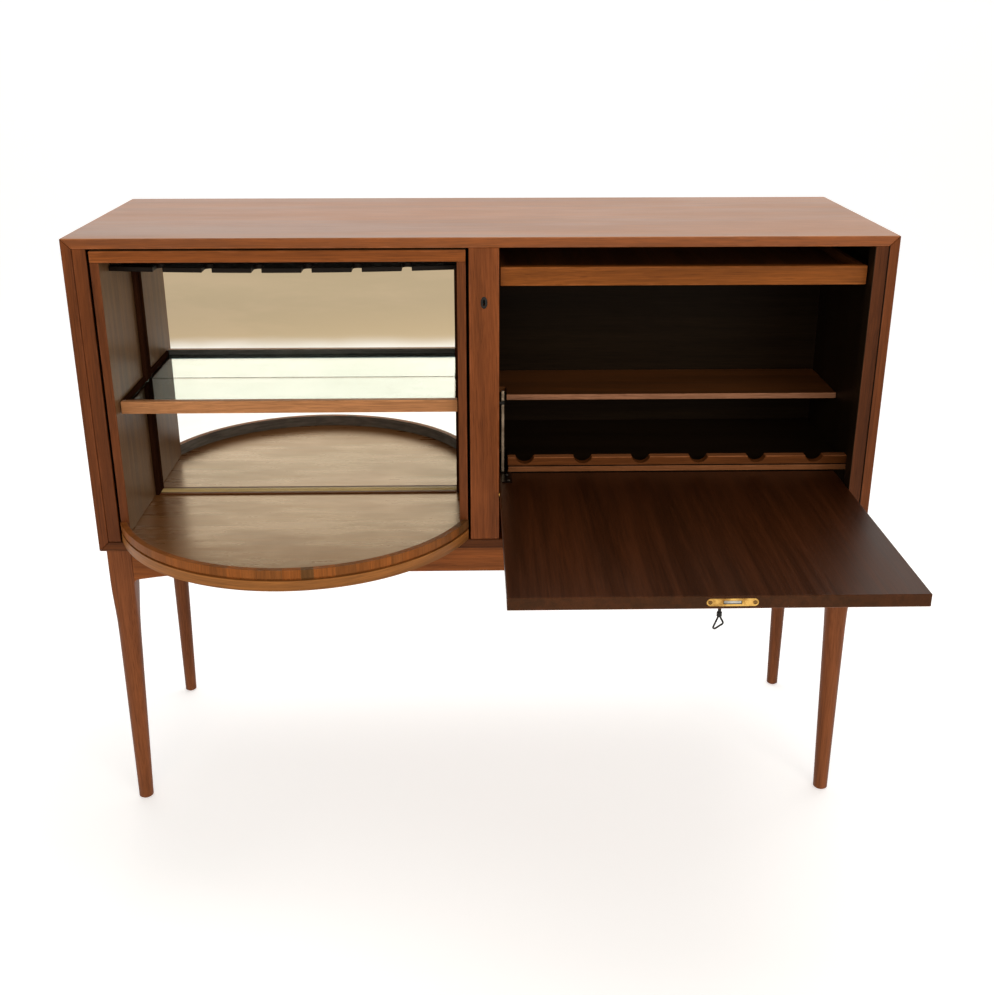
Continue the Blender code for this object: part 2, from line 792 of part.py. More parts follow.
def stadium(x, z, length, height_, margin=0.0):
    """A plate outline with round ends."""
    radius = height_ / 2 + margin
    reach = length / 2 - height_ / 2
    right = arc((x + reach, z), radius, -90, 90, 10)
    left = arc((x - reach, z), radius, 90, 270, 10)
    return right + left


def build_flap():
    """The open flap: it turns on two pins a little above its lower edge, so its tail swings into the bay."""
    flap = panel(
        "flap_panel", (flap_left, flap_right), (flap_tip, flap_tail), (flap_under, flap_face), "dark_veneer", "flap"
    )
    pin_hole = flap_pin_radius + gap
    pins = {"left_flap_pin": (flap_left, flap_bay_left, 1), "right_flap_pin": (flap_right, flap_bay_right, -1)}
    for name, (edge, post, inward) in pins.items():
        deep = edge + inward * flap_pin_reach
        low, high = sorted((edge - inward * board, deep))
        combine(flap, name + "_hole", rod((pivot_y, pivot_z), "x", low, high, pin_hole))
        low, high = sorted((deep - inward * gap, post - inward * flap_pin_reach))
        pin = rod((pivot_y, pivot_z), "x", low, high, flap_pin_radius)
        smooth_sides(add(name, pin, "flap", "steel"))
    build_lock(flap)
    build_stay()


def build_lock(flap):
    """A mortise lock in the flap's free edge: face plate, bolt, key and the key's plate on the outer side."""
    lock_x, tip, lock_z = ORIGINS["bolt"]
    bolt_x, bolt_y, bolt_z = bolt_size
    recess = stadium(lock_x, lock_z, plate_length, plate_height, gap)
    combine(flap, "plate_recess", extruded(recess, "y", tip - board, tip + plate_thickness + gap))
    slot_x = bolt_x / 2 + bolt_play
    slot_z = bolt_z / 2 + bolt_play
    mortise = block(
        (lock_x - slot_x, lock_x + slot_x),
        (tip - board, tip + bolt_y + 2 * bolt_play),
        (lock_z - slot_z, lock_z + slot_z),
    )
    combine(flap, "bolt_mortise", mortise)
    plate_form = extruded(stadium(lock_x, lock_z, plate_length, plate_height), "y", tip, tip + plate_thickness)
    plate = add("flap_lock_plate", plate_form, "flap", "brass")
    slot = block((lock_x - slot_x, lock_x + slot_x), (tip - board, tip + board), (lock_z - slot_z, lock_z + slot_z))
    combine(plate, "plate_slot", slot)
    bolt = block(
        (lock_x - bolt_x / 2, lock_x + bolt_x / 2),
        (tip + bolt_play, tip + bolt_play + bolt_y),
        (lock_z - bolt_z / 2, lock_z + bolt_z / 2),
    )
    ease(add("flap_bolt", bolt, "bolt", "brass"), fine_ease)

    key_x, key_y, key_z = ORIGINS["key"]
    hole_radius = key_shaft_radius + gap
    hole = rod((key_x, key_y), "z", key_z - board, key_z + keyhole_depth, hole_radius, 20)
    combine(flap, "keyhole", hole)
    seat = rod((key_x, key_y), "z", key_z - board, key_z + key_plate_thickness / 2, key_plate_radius + gap)
    combine(flap, "key_plate_seat", seat)
    plate_low = key_z - key_plate_thickness / 2
    plate_high = key_z + key_plate_thickness / 2 - gap
    key_plate = add(
        "key_plate", rod((key_x, key_y), "z", plate_low, plate_high, key_plate_radius), "flap", "black_iron"
    )
    combine(key_plate, "key_plate_hole", rod((key_x, key_y), "z", key_z - board, key_z + board, hole_radius, 20))
    shaft_low = key_z - key_shaft_length
    shaft = rod((key_x, key_y), "z", shaft_low, key_z + keyhole_depth - 2 * gap, key_shaft_radius, 20)
    key = add("flap_key", shaft, "key", "black_iron")
    collar = rod((key_x, key_y), "z", shaft_low, shaft_low + key_collar_height, key_collar_radius, 20)
    combine(key, "key_collar", collar, "UNION")
    combine(key, "key_bow", key_bow_form(key_x, key_y, shaft_low), "UNION")
    smooth(key)


def drawn_round(pins, steps=5):
    """A cord drawn tight round pins given anticlockwise as (x, z, radius): its points and outward directions."""
    leave = []
    for n, (x, z, radius) in enumerate(pins):
        next_x, next_z, next_radius = pins[(n + 1) % len(pins)]
        heading = math.atan2(next_z - z, next_x - x)
        leave.append(heading - math.acos((radius - next_radius) / math.hypot(next_x - x, next_z - z)))
    points = []
    for n, (x, z, radius) in enumerate(pins):
        sweep = (leave[n] - leave[n - 1]) % (2 * math.pi)
        for k in range(steps + 1):
            turn = leave[n - 1] + sweep * k / steps
            points.append((x + radius * math.cos(turn), z + radius * math.sin(turn), turn))
    return points


def key_bow_form(x, y, top):
    """A wire loop that a finger and thumb hold, in the plane of the flap's front edge."""
    form = bmesh.new()
    rings = []
    section = 8
    for u, v, turn in drawn_round(key_bow):
        spoke = Vector((math.cos(turn), 0, math.sin(turn)))
        ring = []
        for k in range(section):
            roll = 2 * math.pi * k / section
            offset = spoke * (key_wire * math.cos(roll)) + Vector((0, key_wire * math.sin(roll), 0))
            ring.append(form.verts.new(Vector((x + u, y, top + v)) + offset))
        rings.append(ring)
    for n in range(len(rings)):
        for k in range(section):
            form.faces.new((rings[n - 1][k - 1], rings[n - 1][k], rings[n][k], rings[n][k - 1]))
    return form


def build_stay():
    """A steel arm screwed to the flap's tail; it stands up beside the shelf and meets a peg when the flap is level."""
    left = flap_bay_left + stay_from_post
    right = left + stay_width
    tail = flap_tail
    foot_x, foot_y = stay_foot
    foot_low = flap_face + gap
    foot_high = foot_low + stay_foot_thickness
    stay = add("flap_stay", block((left, left + foot_x), (tail - foot_y, tail), (foot_low, foot_high)), "flap", "steel")
    arm_top = flap_face + stay_rise
    arm = block((left, right), (tail - stay_thickness, tail), (foot_low + stay_foot_thickness / 2, arm_top))
    combine(stay, "stay_arm", arm, "UNION")
    peg_y = tail - stay_thickness - gap - peg_radius
    peg_z = arm_top - peg_below_top
    peg = rod((peg_y, peg_z), "x", partition_right + gap, right + gap, peg_radius, 20)
    smooth_sides(add("stay_peg", peg, "carcass", "steel"))


def build_right_bay():
    """An inner back, a shelf, a raised floor with a notched rail for bottles, and the tray with its runners."""
    left = partition_right + gap
    right = side_inner - gap
    back = bay_depth - gap
    panel(
        "bay_back",
        (left, right),
        (bay_depth, bay_depth + bay_back_thickness),
        (floor_top + gap, top_under - gap),
        "dark_veneer",
        eased=False,
    )
    slot_right = left + stay_slot
    shelf_high = floor_top + shelf_height + shelf_thickness
    shelf_outline = [
        (slot_right, shelf_set_back),
        (right, shelf_set_back),
        (right, back),
        (left, back),
        (left, shelf_set_back + shelf_notch),
        (slot_right, shelf_set_back + shelf_notch),
    ]
    shelf = extruded(shelf_outline, "z", shelf_high - shelf_thickness, shelf_high)
    ease(add("bottle_shelf", shelf, "carcass", "dark_veneer"), shelf_ease)

    stay_reach = pivot_y + math.hypot(flap_tail - pivot_y, stay_rise + flap_thickness / 2) + rack_floor_clear
    front = rack_floor_front
    floor_low = flap_face + 2 * gap
    floor_high = floor_low + rack_floor_thickness
    floor_outline = [
        (slot_right, front),
        (right, front),
        (right, back),
        (left, back),
        (left, stay_reach),
        (slot_right, stay_reach),
    ]
    rack_floor = extruded(floor_outline, "z", floor_low, floor_high)
    ease(add("rack_floor", rack_floor, "carcass", "walnut"), shelf_ease)
    riser_y = (front + riser_set_back, front + riser_set_back + riser_thickness)
    panel("rack_riser", (slot_right, right), riser_y, (floor_top + gap, floor_low - gap), "dark_veneer", eased=False)
    build_bottle_rail(slot_right, right, front + rail_set_back, floor_high + gap)
    build_tray(left, right)


def build_bottle_rail(left, right, front, low):
    """A rail with round notches that bottle necks lie in."""
    high = low + rail_height
    half = rail_notch_width / 2
    radius = (half ** 2 + rail_notch_depth ** 2) / (2 * rail_notch_depth)
    centre_z = high - rail_notch_depth + radius
    spread = math.degrees(math.asin(half / radius))
    bay_middle = (partition_right + side_inner) / 2
    pitch = (side_inner - partition_right) / (rail_notches + rail_end_land)
    outline = [(right, low), (left, low), (left, high)]
    for n in range(rail_notches):
        middle = bay_middle + (n - (rail_notches - 1) / 2) * pitch
        outline += arc((middle, centre_z), radius, -90 - spread, -90 + spread, 10)
    outline.append((right, high))
    rail = extruded(outline, "y", front, front + rail_thickness)
    ease(add("bottle_rail", rail, "carcass", "walnut"))


def build_tray(left, right):
    """A shallow tray behind the flap's top, drawn out on two runners."""
    origin_x, front, high = ORIGINS["tray"]
    low = high - tray_front_height
    tray_left = flap_bay_left + tray_side_gap
    tray_right = flap_bay_right - tray_side_gap
    panel(
        "tray_front", (tray_left, tray_right), (front, front + tray_front_thickness), (low, high), "walnut", "tray"
    )
    tray_back = min(front + tray_depth, bay_depth - tray_front_clear)
    body_y = (front + tray_front_thickness + gap, tray_back)
    floor_low = low + tray_lip
    rim = high - tray_rim_drop
    tray = add("tray_box", block((tray_left, tray_right), body_y, (floor_low, rim)), "tray", "dark_veneer")
    hollow_out = block(
        (tray_left + tray_wall, tray_right - tray_wall),
        (body_y[0] + tray_wall, body_y[1] - tray_wall),
        (floor_low + tray_floor, high + board),
    )
    combine(tray, "tray_hollow", hollow_out)
    runner_high = floor_low - gap
    runner_low = runner_high - runner_height
    runner_front = max(post_set_back + post_depth, front + tray_front_thickness) + gap
    runner_y = (runner_front, tray_back)
    for name, wall, edge, inward in (
        ("left_runner", left, tray_left, 1),
        ("right_runner", right, tray_right, -1),
    ):
        guide = edge - inward * runner_guide_gap
        ledge = edge + inward * runner_ledge
        section = [
            (wall, runner_low),
            (ledge, runner_low),
            (ledge, runner_high),
            (guide, runner_high),
            (guide, rim),
            (wall, rim),
        ]
        add(name, extruded(section, "y", runner_y[0], runner_y[1]), "carcass", "dark_veneer")


def build_bar_lock():
    """The bolt that holds the bar, drawn back into the centre post."""
    x, y, z = ORIGINS["bar_bolt"]
    length, thick, tall = bar_bolt_size
    bolt = block((x, x + length), (y - thick / 2, y + thick / 2), (z - tall / 2, z + tall / 2))
    ease(add("bar_bolt", bolt, "bar_bolt", "steel"), fine_ease)


empty_scene()
PARTS = new_collection("bar_cabinet")
CUTTERS = new_collection("cutters")
build_case()
build_posts()
build_leg_frame()
build_pivots()
build_bar()
build_bar_lock()
build_flap()
build_right_bay()
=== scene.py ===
# %% [markdown]
# # A walnut bar cabinet, dressed piece by piece
# The boards, pins and plates of this cabinet come in ready made, each one in its place. This lesson gives
# them their timber, metal and glass, and makes the few pieces whose real form is finer than a plain solid.

# %% Load the solids
import json
import math

import bmesh
import bpy
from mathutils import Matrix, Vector


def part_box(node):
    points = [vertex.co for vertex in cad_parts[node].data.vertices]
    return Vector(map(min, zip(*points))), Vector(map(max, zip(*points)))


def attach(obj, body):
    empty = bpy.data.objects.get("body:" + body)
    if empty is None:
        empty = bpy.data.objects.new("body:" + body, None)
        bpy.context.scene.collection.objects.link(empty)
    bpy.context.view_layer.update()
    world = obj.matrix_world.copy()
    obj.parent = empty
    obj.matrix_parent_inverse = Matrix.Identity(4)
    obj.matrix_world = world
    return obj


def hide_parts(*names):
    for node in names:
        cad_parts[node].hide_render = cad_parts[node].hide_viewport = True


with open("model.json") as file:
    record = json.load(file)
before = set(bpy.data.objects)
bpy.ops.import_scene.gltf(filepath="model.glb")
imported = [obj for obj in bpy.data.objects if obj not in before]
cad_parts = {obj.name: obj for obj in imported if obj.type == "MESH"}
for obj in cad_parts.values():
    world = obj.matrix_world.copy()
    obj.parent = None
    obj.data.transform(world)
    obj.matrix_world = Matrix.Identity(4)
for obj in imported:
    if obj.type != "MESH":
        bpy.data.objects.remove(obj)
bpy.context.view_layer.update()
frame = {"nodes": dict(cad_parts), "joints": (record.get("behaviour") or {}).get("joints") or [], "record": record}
solids = frame["nodes"]
joints = {joint["name"]: joint for joint in frame["joints"]}
body_of = {node: body for body, nodes in frame["record"]["behaviour"]["bodies"].items() for node in nodes}
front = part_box("top_panel")[0].y
scene = bpy.context.scene

# %% [markdown]
# ## Where the viewer stands
# The cabinet is seen from standing height, almost straight on, a little left of its middle. A camera could be
# aimed with a tracking constraint, but a plain place and two angles say the same with less to go wrong.

# %% Camera
camera = bpy.data.objects.new("viewer", bpy.data.cameras.new("viewer"))
scene.collection.objects.link(camera)
camera.location = (-0.019, front - 1.895, 1.345)
camera.rotation_euler = (math.radians(68.42), 0.0, math.radians(-1.23))
camera.data.lens = 44.08
scene.camera = camera
print(f"camera {-camera.location.y:.2f} m in front, {camera.location.z:.2f} m up")

# %% [markdown]
# ## Node helpers
# Every material and every Geometry Nodes tree below is built from the same few moves: put down a node, give it
# its settings, and feed its sockets with a number or with another node's output. Two helpers do that, and eight
# short ones name the commonest nodes, so that a recipe reads like a recipe.


# %% Putting down and feeding nodes
def feed(tree, node, feeds):
    for socket, value in feeds.items():
        if isinstance(value, bpy.types.NodeSocket):
            tree.links.new(value, node.inputs[socket])
        else:
            node.inputs[socket].default_value = value


def put(tree, kind, feeds=None, **settings):
    node = tree.nodes.new(kind)
    for name, value in settings.items():
        setattr(node, name, value)
    feed(tree, node, feeds or {})
    return node


print("nodes can be put down and fed")


# %% The commonest nodes
def reckon(tree, operation, a, b=0.0, clamp=False):
    return put(tree, "ShaderNodeMath", {0: a, 1: b}, operation=operation, use_clamp=clamp).outputs[0]


def shift(tree, operation, a, b):
    return put(tree, "ShaderNodeVectorMath", {0: a, 1: b}, operation=operation).outputs[0]


def scaled(tree, vector, factor):
    return put(tree, "ShaderNodeVectorMath", {0: vector, "Scale": factor}, operation="SCALE").outputs[0]


def apart(tree, vector):
    return put(tree, "ShaderNodeSeparateXYZ", {0: vector}).outputs


def joined(tree, x=0.0, y=0.0, z=0.0):
    return put(tree, "ShaderNodeCombineXYZ", {0: x, 1: y, 2: z}).outputs[0]


def ramp(tree, value, low, high, to_low=0.0, to_high=1.0):
    feeds = {"Value": value, "From Min": low, "From Max": high, "To Min": to_low, "To Max": to_high}
    return put(tree, "ShaderNodeMapRange", feeds, interpolation_type="SMOOTHSTEP").outputs[0]


def tint(tree, factor, a, b):
    return put(tree, "ShaderNodeMix", {0: factor, 6: a, 7: b}, data_type="RGBA").outputs[2]


def cloud(tree, vector, stretch, detail=2.0, roughness=0.5, distortion=0.0):
    feeds = {"Vector": shift(tree, "MULTIPLY", vector, stretch), "Scale": 1.0, "Detail": detail}
    feeds.update({"Roughness": roughness, "Distortion": distortion})
    return put(tree, "ShaderNodeTexNoise", feeds).outputs["Fac"]


print("short names for eight nodes")


# %% Colours, materials and groups
def linear(red, green, blue):
    parts = [c / 255 for c in (red, green, blue)]
    parts = [c / 12.92 if c <= 0.04045 else ((c + 0.055) / 1.055) ** 2.4 for c in parts]
    return (*parts, 1.0)


def new_material(name):
    material = bpy.data.materials.new(name)
    material.use_nodes = True
    tree = material.node_tree
    return material, tree, tree.nodes["Principled BSDF"], put(tree, "ShaderNodeTexCoord").outputs["Object"]


def new_group(name, takes, gives, kind="ShaderNodeTree"):
    group = bpy.data.node_groups.new(name, kind)
    for label, sort, value in takes:
        socket = group.interface.new_socket(label, in_out="INPUT", socket_type=sort)
        if value is not None:
            socket.default_value = value
    for label, sort in gives:
        group.interface.new_socket(label, in_out="OUTPUT", socket_type=sort)
    given = group.nodes.new("NodeGroupInput").outputs
    wanted = group.nodes.new("NodeGroupOutput").inputs
    return group, given, wanted


FLOAT, COLOUR, VECTOR = "NodeSocketFloat", "NodeSocketColor", "NodeSocketVector"
print("middle grey is", round(linear(128, 128, 128)[0], 3), "in linear light")

# %% [markdown]
# ## The room
# The cabinet stands on a seamless pale sweep, as in a studio: one sheet that runs flat and then curves up
# behind. Behind the viewer the sheet turns to a warm beige that deepens little by little, because that is
# where the upper half of the bar's mirror looks, and a white room would leave the mirror blank.


# %% Floor sweep
def floor_sweep(half_width=9.0, start=-9.0, middle=-1.2, bend=3.0, radius=1.6, top=6.0, steps=16):
    profile = [(start, 0.0), (middle, 0.0), (bend, 0.0)]
    for step in range(1, steps + 1):
        angle = math.pi / 2 * step / steps
        profile.append((bend + radius * math.sin(angle), radius * (1 - math.cos(angle))))
    profile.append((bend + radius, top))
    mesh = bpy.data.meshes.new("floor")
    rows = [[(x, y, z) for y, z in profile] for x in (-half_width, half_width)]
    count = len(profile)
    faces = [(i, count + i, count + i + 1, i + 1) for i in range(count - 1)]
    mesh.from_pydata(rows[0] + rows[1], [], faces)
    for face in mesh.polygons:
        face.use_smooth = True
    sheet = bpy.data.objects.new("floor", mesh)
    scene.collection.objects.link(sheet)
    return sheet


floor = floor_sweep()
print("floor", [round(v, 2) for v in floor.dimensions])

# %% Paper finish
PAPER_WHITE = linear(226, 226, 226)
BEIGE_NEAR, BEIGE_FAR = linear(174, 155, 127), linear(192, 171, 140)
WHITE_ENDS = (-2.82, -3.16)
BEIGE_TURNS = (-3.1, -4.3)
paper, leaf, skin, where = new_material("studio_paper")
along = apart(leaf, where)["Y"]
mottle = ramp(leaf, cloud(leaf, where, (3, 3, 3)), 0.3, 0.7, -0.02, 0.02)
behind = ramp(leaf, reckon(leaf, "ADD", along, mottle), *WHITE_ENDS)
beige = tint(leaf, ramp(leaf, along, *BEIGE_TURNS), BEIGE_NEAR, BEIGE_FAR)
sheet_colour = tint(leaf, behind, PAPER_WHITE, beige)
feed(leaf, skin, {
    "Base Color": sheet_colour, "Roughness": 0.9, "Specular IOR Level": 0.1,
    "Emission Color": sheet_colour, "Emission Strength": 0.62,
})
floor.data.materials.append(paper)
print("paper:", len(leaf.nodes), "nodes")

# %% [markdown]
# ## Light
# The light is soft and comes from everywhere, a little more from above and from a wide warm window behind the
# viewer. A bright world gives the even part, and one panel overhead lights the top board. The window is a
# panel too: it stands where the polished floor of the bar, by way of the mirror, looks at it, and so it gives
# that floor its sheen. A third panel, at the front right, lights the front edges and shines into the bays.

# %% World and light panels
PANELS = {
    "overhead": {
        "place": (0.3, 0.9, 3.4), "aim": (0, 0.1, 0.9), "size": (3.4, 2.0), "power": 60,
        "colour": (1.0, 0.98, 0.95),
    },
    "window": {
        "place": (-0.40, -3.1, 1.95), "aim": (-0.2, 0, 0.75), "size": (2.2, 1.7), "power": 33,
        "colour": (1.0, 0.87, 0.67),
    },
    "front_right": {
        "place": (1.7, -3.0, 1.80), "aim": (0.25, 0.1, 0.65), "size": (1.6, 1.2), "power": 32,
        "colour": (1.0, 0.94, 0.86),
    },
}


def panel_light(name, place, aim, size, power, colour):
    lamp = bpy.data.lights.new(name, "AREA")
    lamp.shape = "RECTANGLE"
    lamp.size, lamp.size_y = size
    lamp.energy = power
    lamp.color = colour
    holder = bpy.data.objects.new(name, lamp)
    scene.collection.objects.link(holder)
    holder.location = place
    holder.rotation_euler = (Vector(aim) - Vector(place)).to_track_quat("-Z", "Y").to_euler()


world = bpy.data.worlds.new("soft_room")
scene.world = world
world.use_nodes = True
sky = world.node_tree.nodes["Background"]
sky.inputs["Color"].default_value = (1.0, 0.985, 0.965, 1.0)
sky.inputs["Strength"].default_value = 0.42
for name, settings in PANELS.items():
    panel_light(name, **settings)
scene.view_settings.view_transform = "Standard"
print(len(PANELS), "panels, and a world of strength", round(sky.inputs["Strength"].default_value, 2))

# %% [markdown]
# ## Walnut figure, made once
# Walnut shows three things at three sizes: broad bands that wander along the board, hair-fine fibres, and
# short dark pores. The bands could be painted on a picture, but then every board would repeat it. Here
# stretched noise makes them in a shader group, so each board is cut from a different place of the same endless
# log. The grain always runs along the group's own X, and each material turns its coordinates to suit.

# %% Shader group: walnut figure
# How fine each mark is, along the grain and then twice across it.
DRIFT, RINGS, BROAD = (0.9, 4.0, 4.0), (1.2, 46.0, 46.0), (0.55, 7.0, 7.0)
FIBRES, PITS = (14.0, 620.0, 620.0), (26.0, 1300.0, 1300.0)
WANDER = 0.055
BLACK = (0.0, 0.0, 0.0, 1.0)
figure, given, wanted = new_group(
    "walnut_figure",
    [
        ("Vector", VECTOR, (0, 0, 0)),
        ("Light", COLOUR, linear(150, 90, 48)),
        ("Dark", COLOUR, linear(100, 56, 28)),
        ("Band Size", FLOAT, 1.0),
        ("Sway", FLOAT, 1.0),
        ("Pores", FLOAT, 0.5),
    ],
    [("Colour", COLOUR), ("Height", FLOAT), ("Sheen", FLOAT)],
)
drift = reckon(figure, "SUBTRACT", cloud(figure, given["Vector"], DRIFT), 0.5)
sway = reckon(figure, "MULTIPLY", reckon(figure, "MULTIPLY", drift, WANDER), given["Sway"])
log = shift(figure, "ADD", given["Vector"], joined(figure, 0.0, sway, sway))
sized = scaled(figure, log, given["Band Size"])
rings = reckon(figure, "MULTIPLY", cloud(figure, sized, RINGS, 5.0, 0.62, 0.15), 0.62)
broad = reckon(figure, "MULTIPLY", cloud(figure, sized, BROAD), 0.38)
bands = reckon(figure, "ADD", rings, broad)
fibre = cloud(figure, log, FIBRES)
pits = ramp(figure, cloud(figure, log, PITS, 1.0), 0.57, 0.70)
pore = reckon(figure, "MULTIPLY", pits, given["Pores"])
body = tint(figure, ramp(figure, bands, 0.37, 0.63), given["Dark"], given["Light"])
threads = tint(figure, ramp(figure, fibre, 0.25, 0.75, 0.30, 0.0), body, BLACK)
speckled = tint(figure, reckon(figure, "MULTIPLY", pore, 0.55), threads, BLACK)
figure.links.new(speckled, wanted["Colour"])
figure.links.new(reckon(figure, "SUBTRACT", reckon(figure, "MULTIPLY", fibre, 0.5), pore), wanted["Height"])
figure.links.new(reckon(figure, "SUBTRACT", bands, 0.5), wanted["Sheen"])
print("walnut figure:", len(figure.nodes), "nodes")

# %% [markdown]
# ## Use, made once
# An old cabinet is worn along its arrises, where lacquer rubs thin, and is a little cloudy where hands and
# cloths went over it. Wear could be found by comparing surface angles, which is slow. A board is a box, so its
# arrises are simply where two of the three distances to its walls are small at once: the middle one of the
# three tells.

# %% Shader group: worn arrises
wear, given, wanted = new_group(
    "worn_arrises",
    [
        ("Vector", VECTOR, (0, 0, 0)),
        ("Low", VECTOR, (-1, -1, -1)),
        ("High", VECTOR, (1, 1, 1)),
        ("Width", FLOAT, 0.003),
    ],
    [("Mask", FLOAT)],
)
from_low = shift(wear, "SUBTRACT", given["Vector"], given["Low"])
from_high = shift(wear, "SUBTRACT", given["High"], given["Vector"])
near = apart(wear, shift(wear, "MINIMUM", from_low, from_high))
smaller = reckon(wear, "MINIMUM", near[0], near[1])
larger = reckon(wear, "MAXIMUM", near[0], near[1])
middle = reckon(wear, "MAXIMUM", smaller, reckon(wear, "MINIMUM", larger, near[2]))
ragged = ramp(wear, cloud(wear, given["Vector"], (38, 38, 38), 4.0, 0.65), 0.35, 0.7, 0.15, 1.7)
reach = reckon(wear, "MULTIPLY", given["Width"], ragged)
wear.links.new(ramp(wear, reckon(wear, "DIVIDE", middle, reach), 1.0, 0.2), wanted["Mask"])
print("worn arrises:", len(wear.nodes), "nodes")

# %% Shader group: handled surface
handled, given, wanted = new_group(
    "handled_surface",
    [("Vector", VECTOR, (0, 0, 0)), ("Size", FLOAT, 1.0)],
    [("Haze", FLOAT), ("Scratches", FLOAT)],
)
spot = scaled(handled, given["Vector"], given["Size"])
haze = ramp(handled, cloud(handled, spot, (2.2, 9.0, 9.0), 4.0, 0.6, 0.2), 0.34, 0.68, -0.5, 0.5)
lines = ramp(handled, cloud(handled, spot, (5.0, 520.0, 520.0), 1.0), 0.66, 0.72)
rare = ramp(handled, cloud(handled, spot, (11.0, 11.0, 11.0)), 0.56, 0.68)
handled.links.new(haze, wanted["Haze"])
handled.links.new(reckon(handled, "MULTIPLY", lines, rare), wanted["Scratches"])
print("handled surface:", len(handled.nodes), "nodes")

# %% [markdown]
# ## Timber finishes
# A board is often two timbers: a shelf is dark with a paler lipping, the flap is dark inside and warm outside.
# So a timber finish is a list of layers, each with its two colours and its grain, and a layer may be kept to
# one side of a plane. One function lays them, wears the arrises, and varies the lacquer. The lacquer itself is
# thin and satin, so it mirrors less than bare plastic would. The bar's floor and the flap are polished more,
# with an old yellowed polish, so what they mirror is tinged by it.

# %% Layers of timber
TURNED = {"x": (0, 0, 0), "y": (0, 0, -math.pi / 2), "z": (0, math.pi / 2, 0)}


def tones(red, green, blue, spread=0.25):
    mean = linear(red, green, blue)[:3]
    return [(*(part * (1 + way * spread) for part in mean), 1.0) for way in (1, -1)]


def layer(pair, grain, side=None, size=1.0, pores=0.5, sway=1.0):
    settings = {"Light": pair[0], "Dark": pair[1], "Band Size": size, "Sway": sway, "Pores": pores}
    return {"grain": grain, "side": side, "settings": settings}


def lay(tree, spot, sheet, cut):
    feeds = {"Vector": spot, "Rotation": TURNED[sheet["grain"]], "Location": cut}
    turned = put(tree, "ShaderNodeMapping", feeds).outputs[0]
    wood = put(tree, "ShaderNodeGroup", {"Vector": turned, **sheet["settings"]}, node_tree=figure)
    return {"Along": turned, **{socket.name: socket for socket in wood.outputs}}


def use(tree, group, vector, **sizes):
    return put(tree, "ShaderNodeGroup", {"Vector": vector, **sizes}, node_tree=group).outputs


def cut_from(name):
    seed = sum(ord(letter) for letter in name)
    return (seed * 0.37 % 5.0, seed * 0.173 % 3.0, seed * 0.291 % 4.0)


print("layers are laid with", figure.name)

# %% Lacquer and wear over the layers
UNTINGED = (1.0, 1.0, 1.0, 1.0)
HAZE = (0.06, 1.0)  # how cloudy, and how fine the clouds are


def emboss(tree, shader, height, strength, depth):
    bumped = put(tree, "ShaderNodeBump", {"Strength": strength, "Distance": depth, "Height": height})
    feed(tree, shader, {"Normal": bumped.outputs[0]})


def lacquer(tree, shader, spot, colour, wood, box, rough=0.42, gloss=0.1, worn=0.35, worn_width=0.003,
            bump=0.12, tinge=UNTINGED, haze=HAZE):
    rubbed = use(tree, wear, spot, Low=box[0], High=box[1], Width=worn_width)["Mask"]
    hands = use(tree, handled, wood["Along"], Size=haze[1])
    pale = put(tree, "ShaderNodeHueSaturation", {"Saturation": 0.95, "Value": 1.6, "Color": colour}).outputs[0]
    cloudy = reckon(tree, "MULTIPLY", hands["Haze"], haze[0])
    satin = reckon(tree, "ADD", reckon(tree, "MULTIPLY", wood["Sheen"], 0.2), cloudy)
    dulled = reckon(tree, "ADD", satin, reckon(tree, "MULTIPLY", rubbed, 0.12))
    feed(tree, shader, {
        "Base Color": tint(tree, reckon(tree, "MULTIPLY", rubbed, worn), colour, pale),
        "Roughness": reckon(tree, "ADD", dulled, rough, clamp=True),
        "Specular IOR Level": gloss,
        "Specular Tint": tinge,
    })
    relief = reckon(tree, "SUBTRACT", wood["Height"], reckon(tree, "MULTIPLY", hands["Scratches"], 0.25))
    emboss(tree, shader, relief, bump, 0.0004)


print("lacquer over", wear.name, "and", handled.name)

# %% Timber recipe
SEAM = 0.0002


def timber(name, box, layers, **sheen):
    material, tree, shader, spot = new_material(name)
    axis = apart(tree, spot)
    colour = None
    for sheet in layers:
        wood = lay(tree, spot, sheet, cut_from(name))
        if colour is None:
            colour = wood["Colour"]
            continue
        which, edge, way = sheet["side"]
        mask = ramp(tree, axis["xyz".index(which)], edge - way * SEAM, edge + way * SEAM)
        colour = tint(tree, mask, colour, wood["Colour"])
    lacquer(tree, shader, spot, colour, wood, box, **sheen)
    return material


print("timber recipe ready")

# %% [markdown]
# ## Cutting the boards
# Each board gets its own cut of timber: the top runs along its length, posts and legs stand upright, aprons
# lie along, and the insides are laid dark, dark timber darkened further with painted shade. A list of boards
# against recipes keeps the whole cutting plan in one place, where it is easy to change. A colour is written as
# it looks on a screen, midway between the light and the dark streaks.

# %% Colours of the timbers
WARM = tones(138, 76, 33)
POST = tones(110, 59, 28)
LEGS = tones(124, 70, 37)
APRON = tones(142, 80, 37)
TOP = tones(154, 98, 52, 0.15)
TOP_EDGE = tones(131, 70, 25)
# The insides' colour is dark timber darkened further as painted shade of the bays and the inner faces.
INSIDE_WITH_SHADE = tones(33, 23, 13)
FLAP = tones(56, 26, 9, 0.30)
WALL = tones(118, 86, 57)
FLOOR = tones(130, 84, 44, 0.12)
EDGE = tones(148, 94, 44)
TAN = tones(182, 126, 82, 0.2)
SHELF = tones(110, 66, 34)
LIPPING = tones(184, 130, 99)
RACK_EDGE = tones(146, 92, 56)
RAIL = tones(104, 58, 26)
RAIL_TOP_HIGHLIGHT = tones(150, 92, 54)
TRAY = tones(140, 79, 30)
REDDISH = tones(52, 28, 17)
# Near black: dark timber painted darker still as the shade under the bar's top.
COAL_AND_SHADE = tones(24, 18, 14)
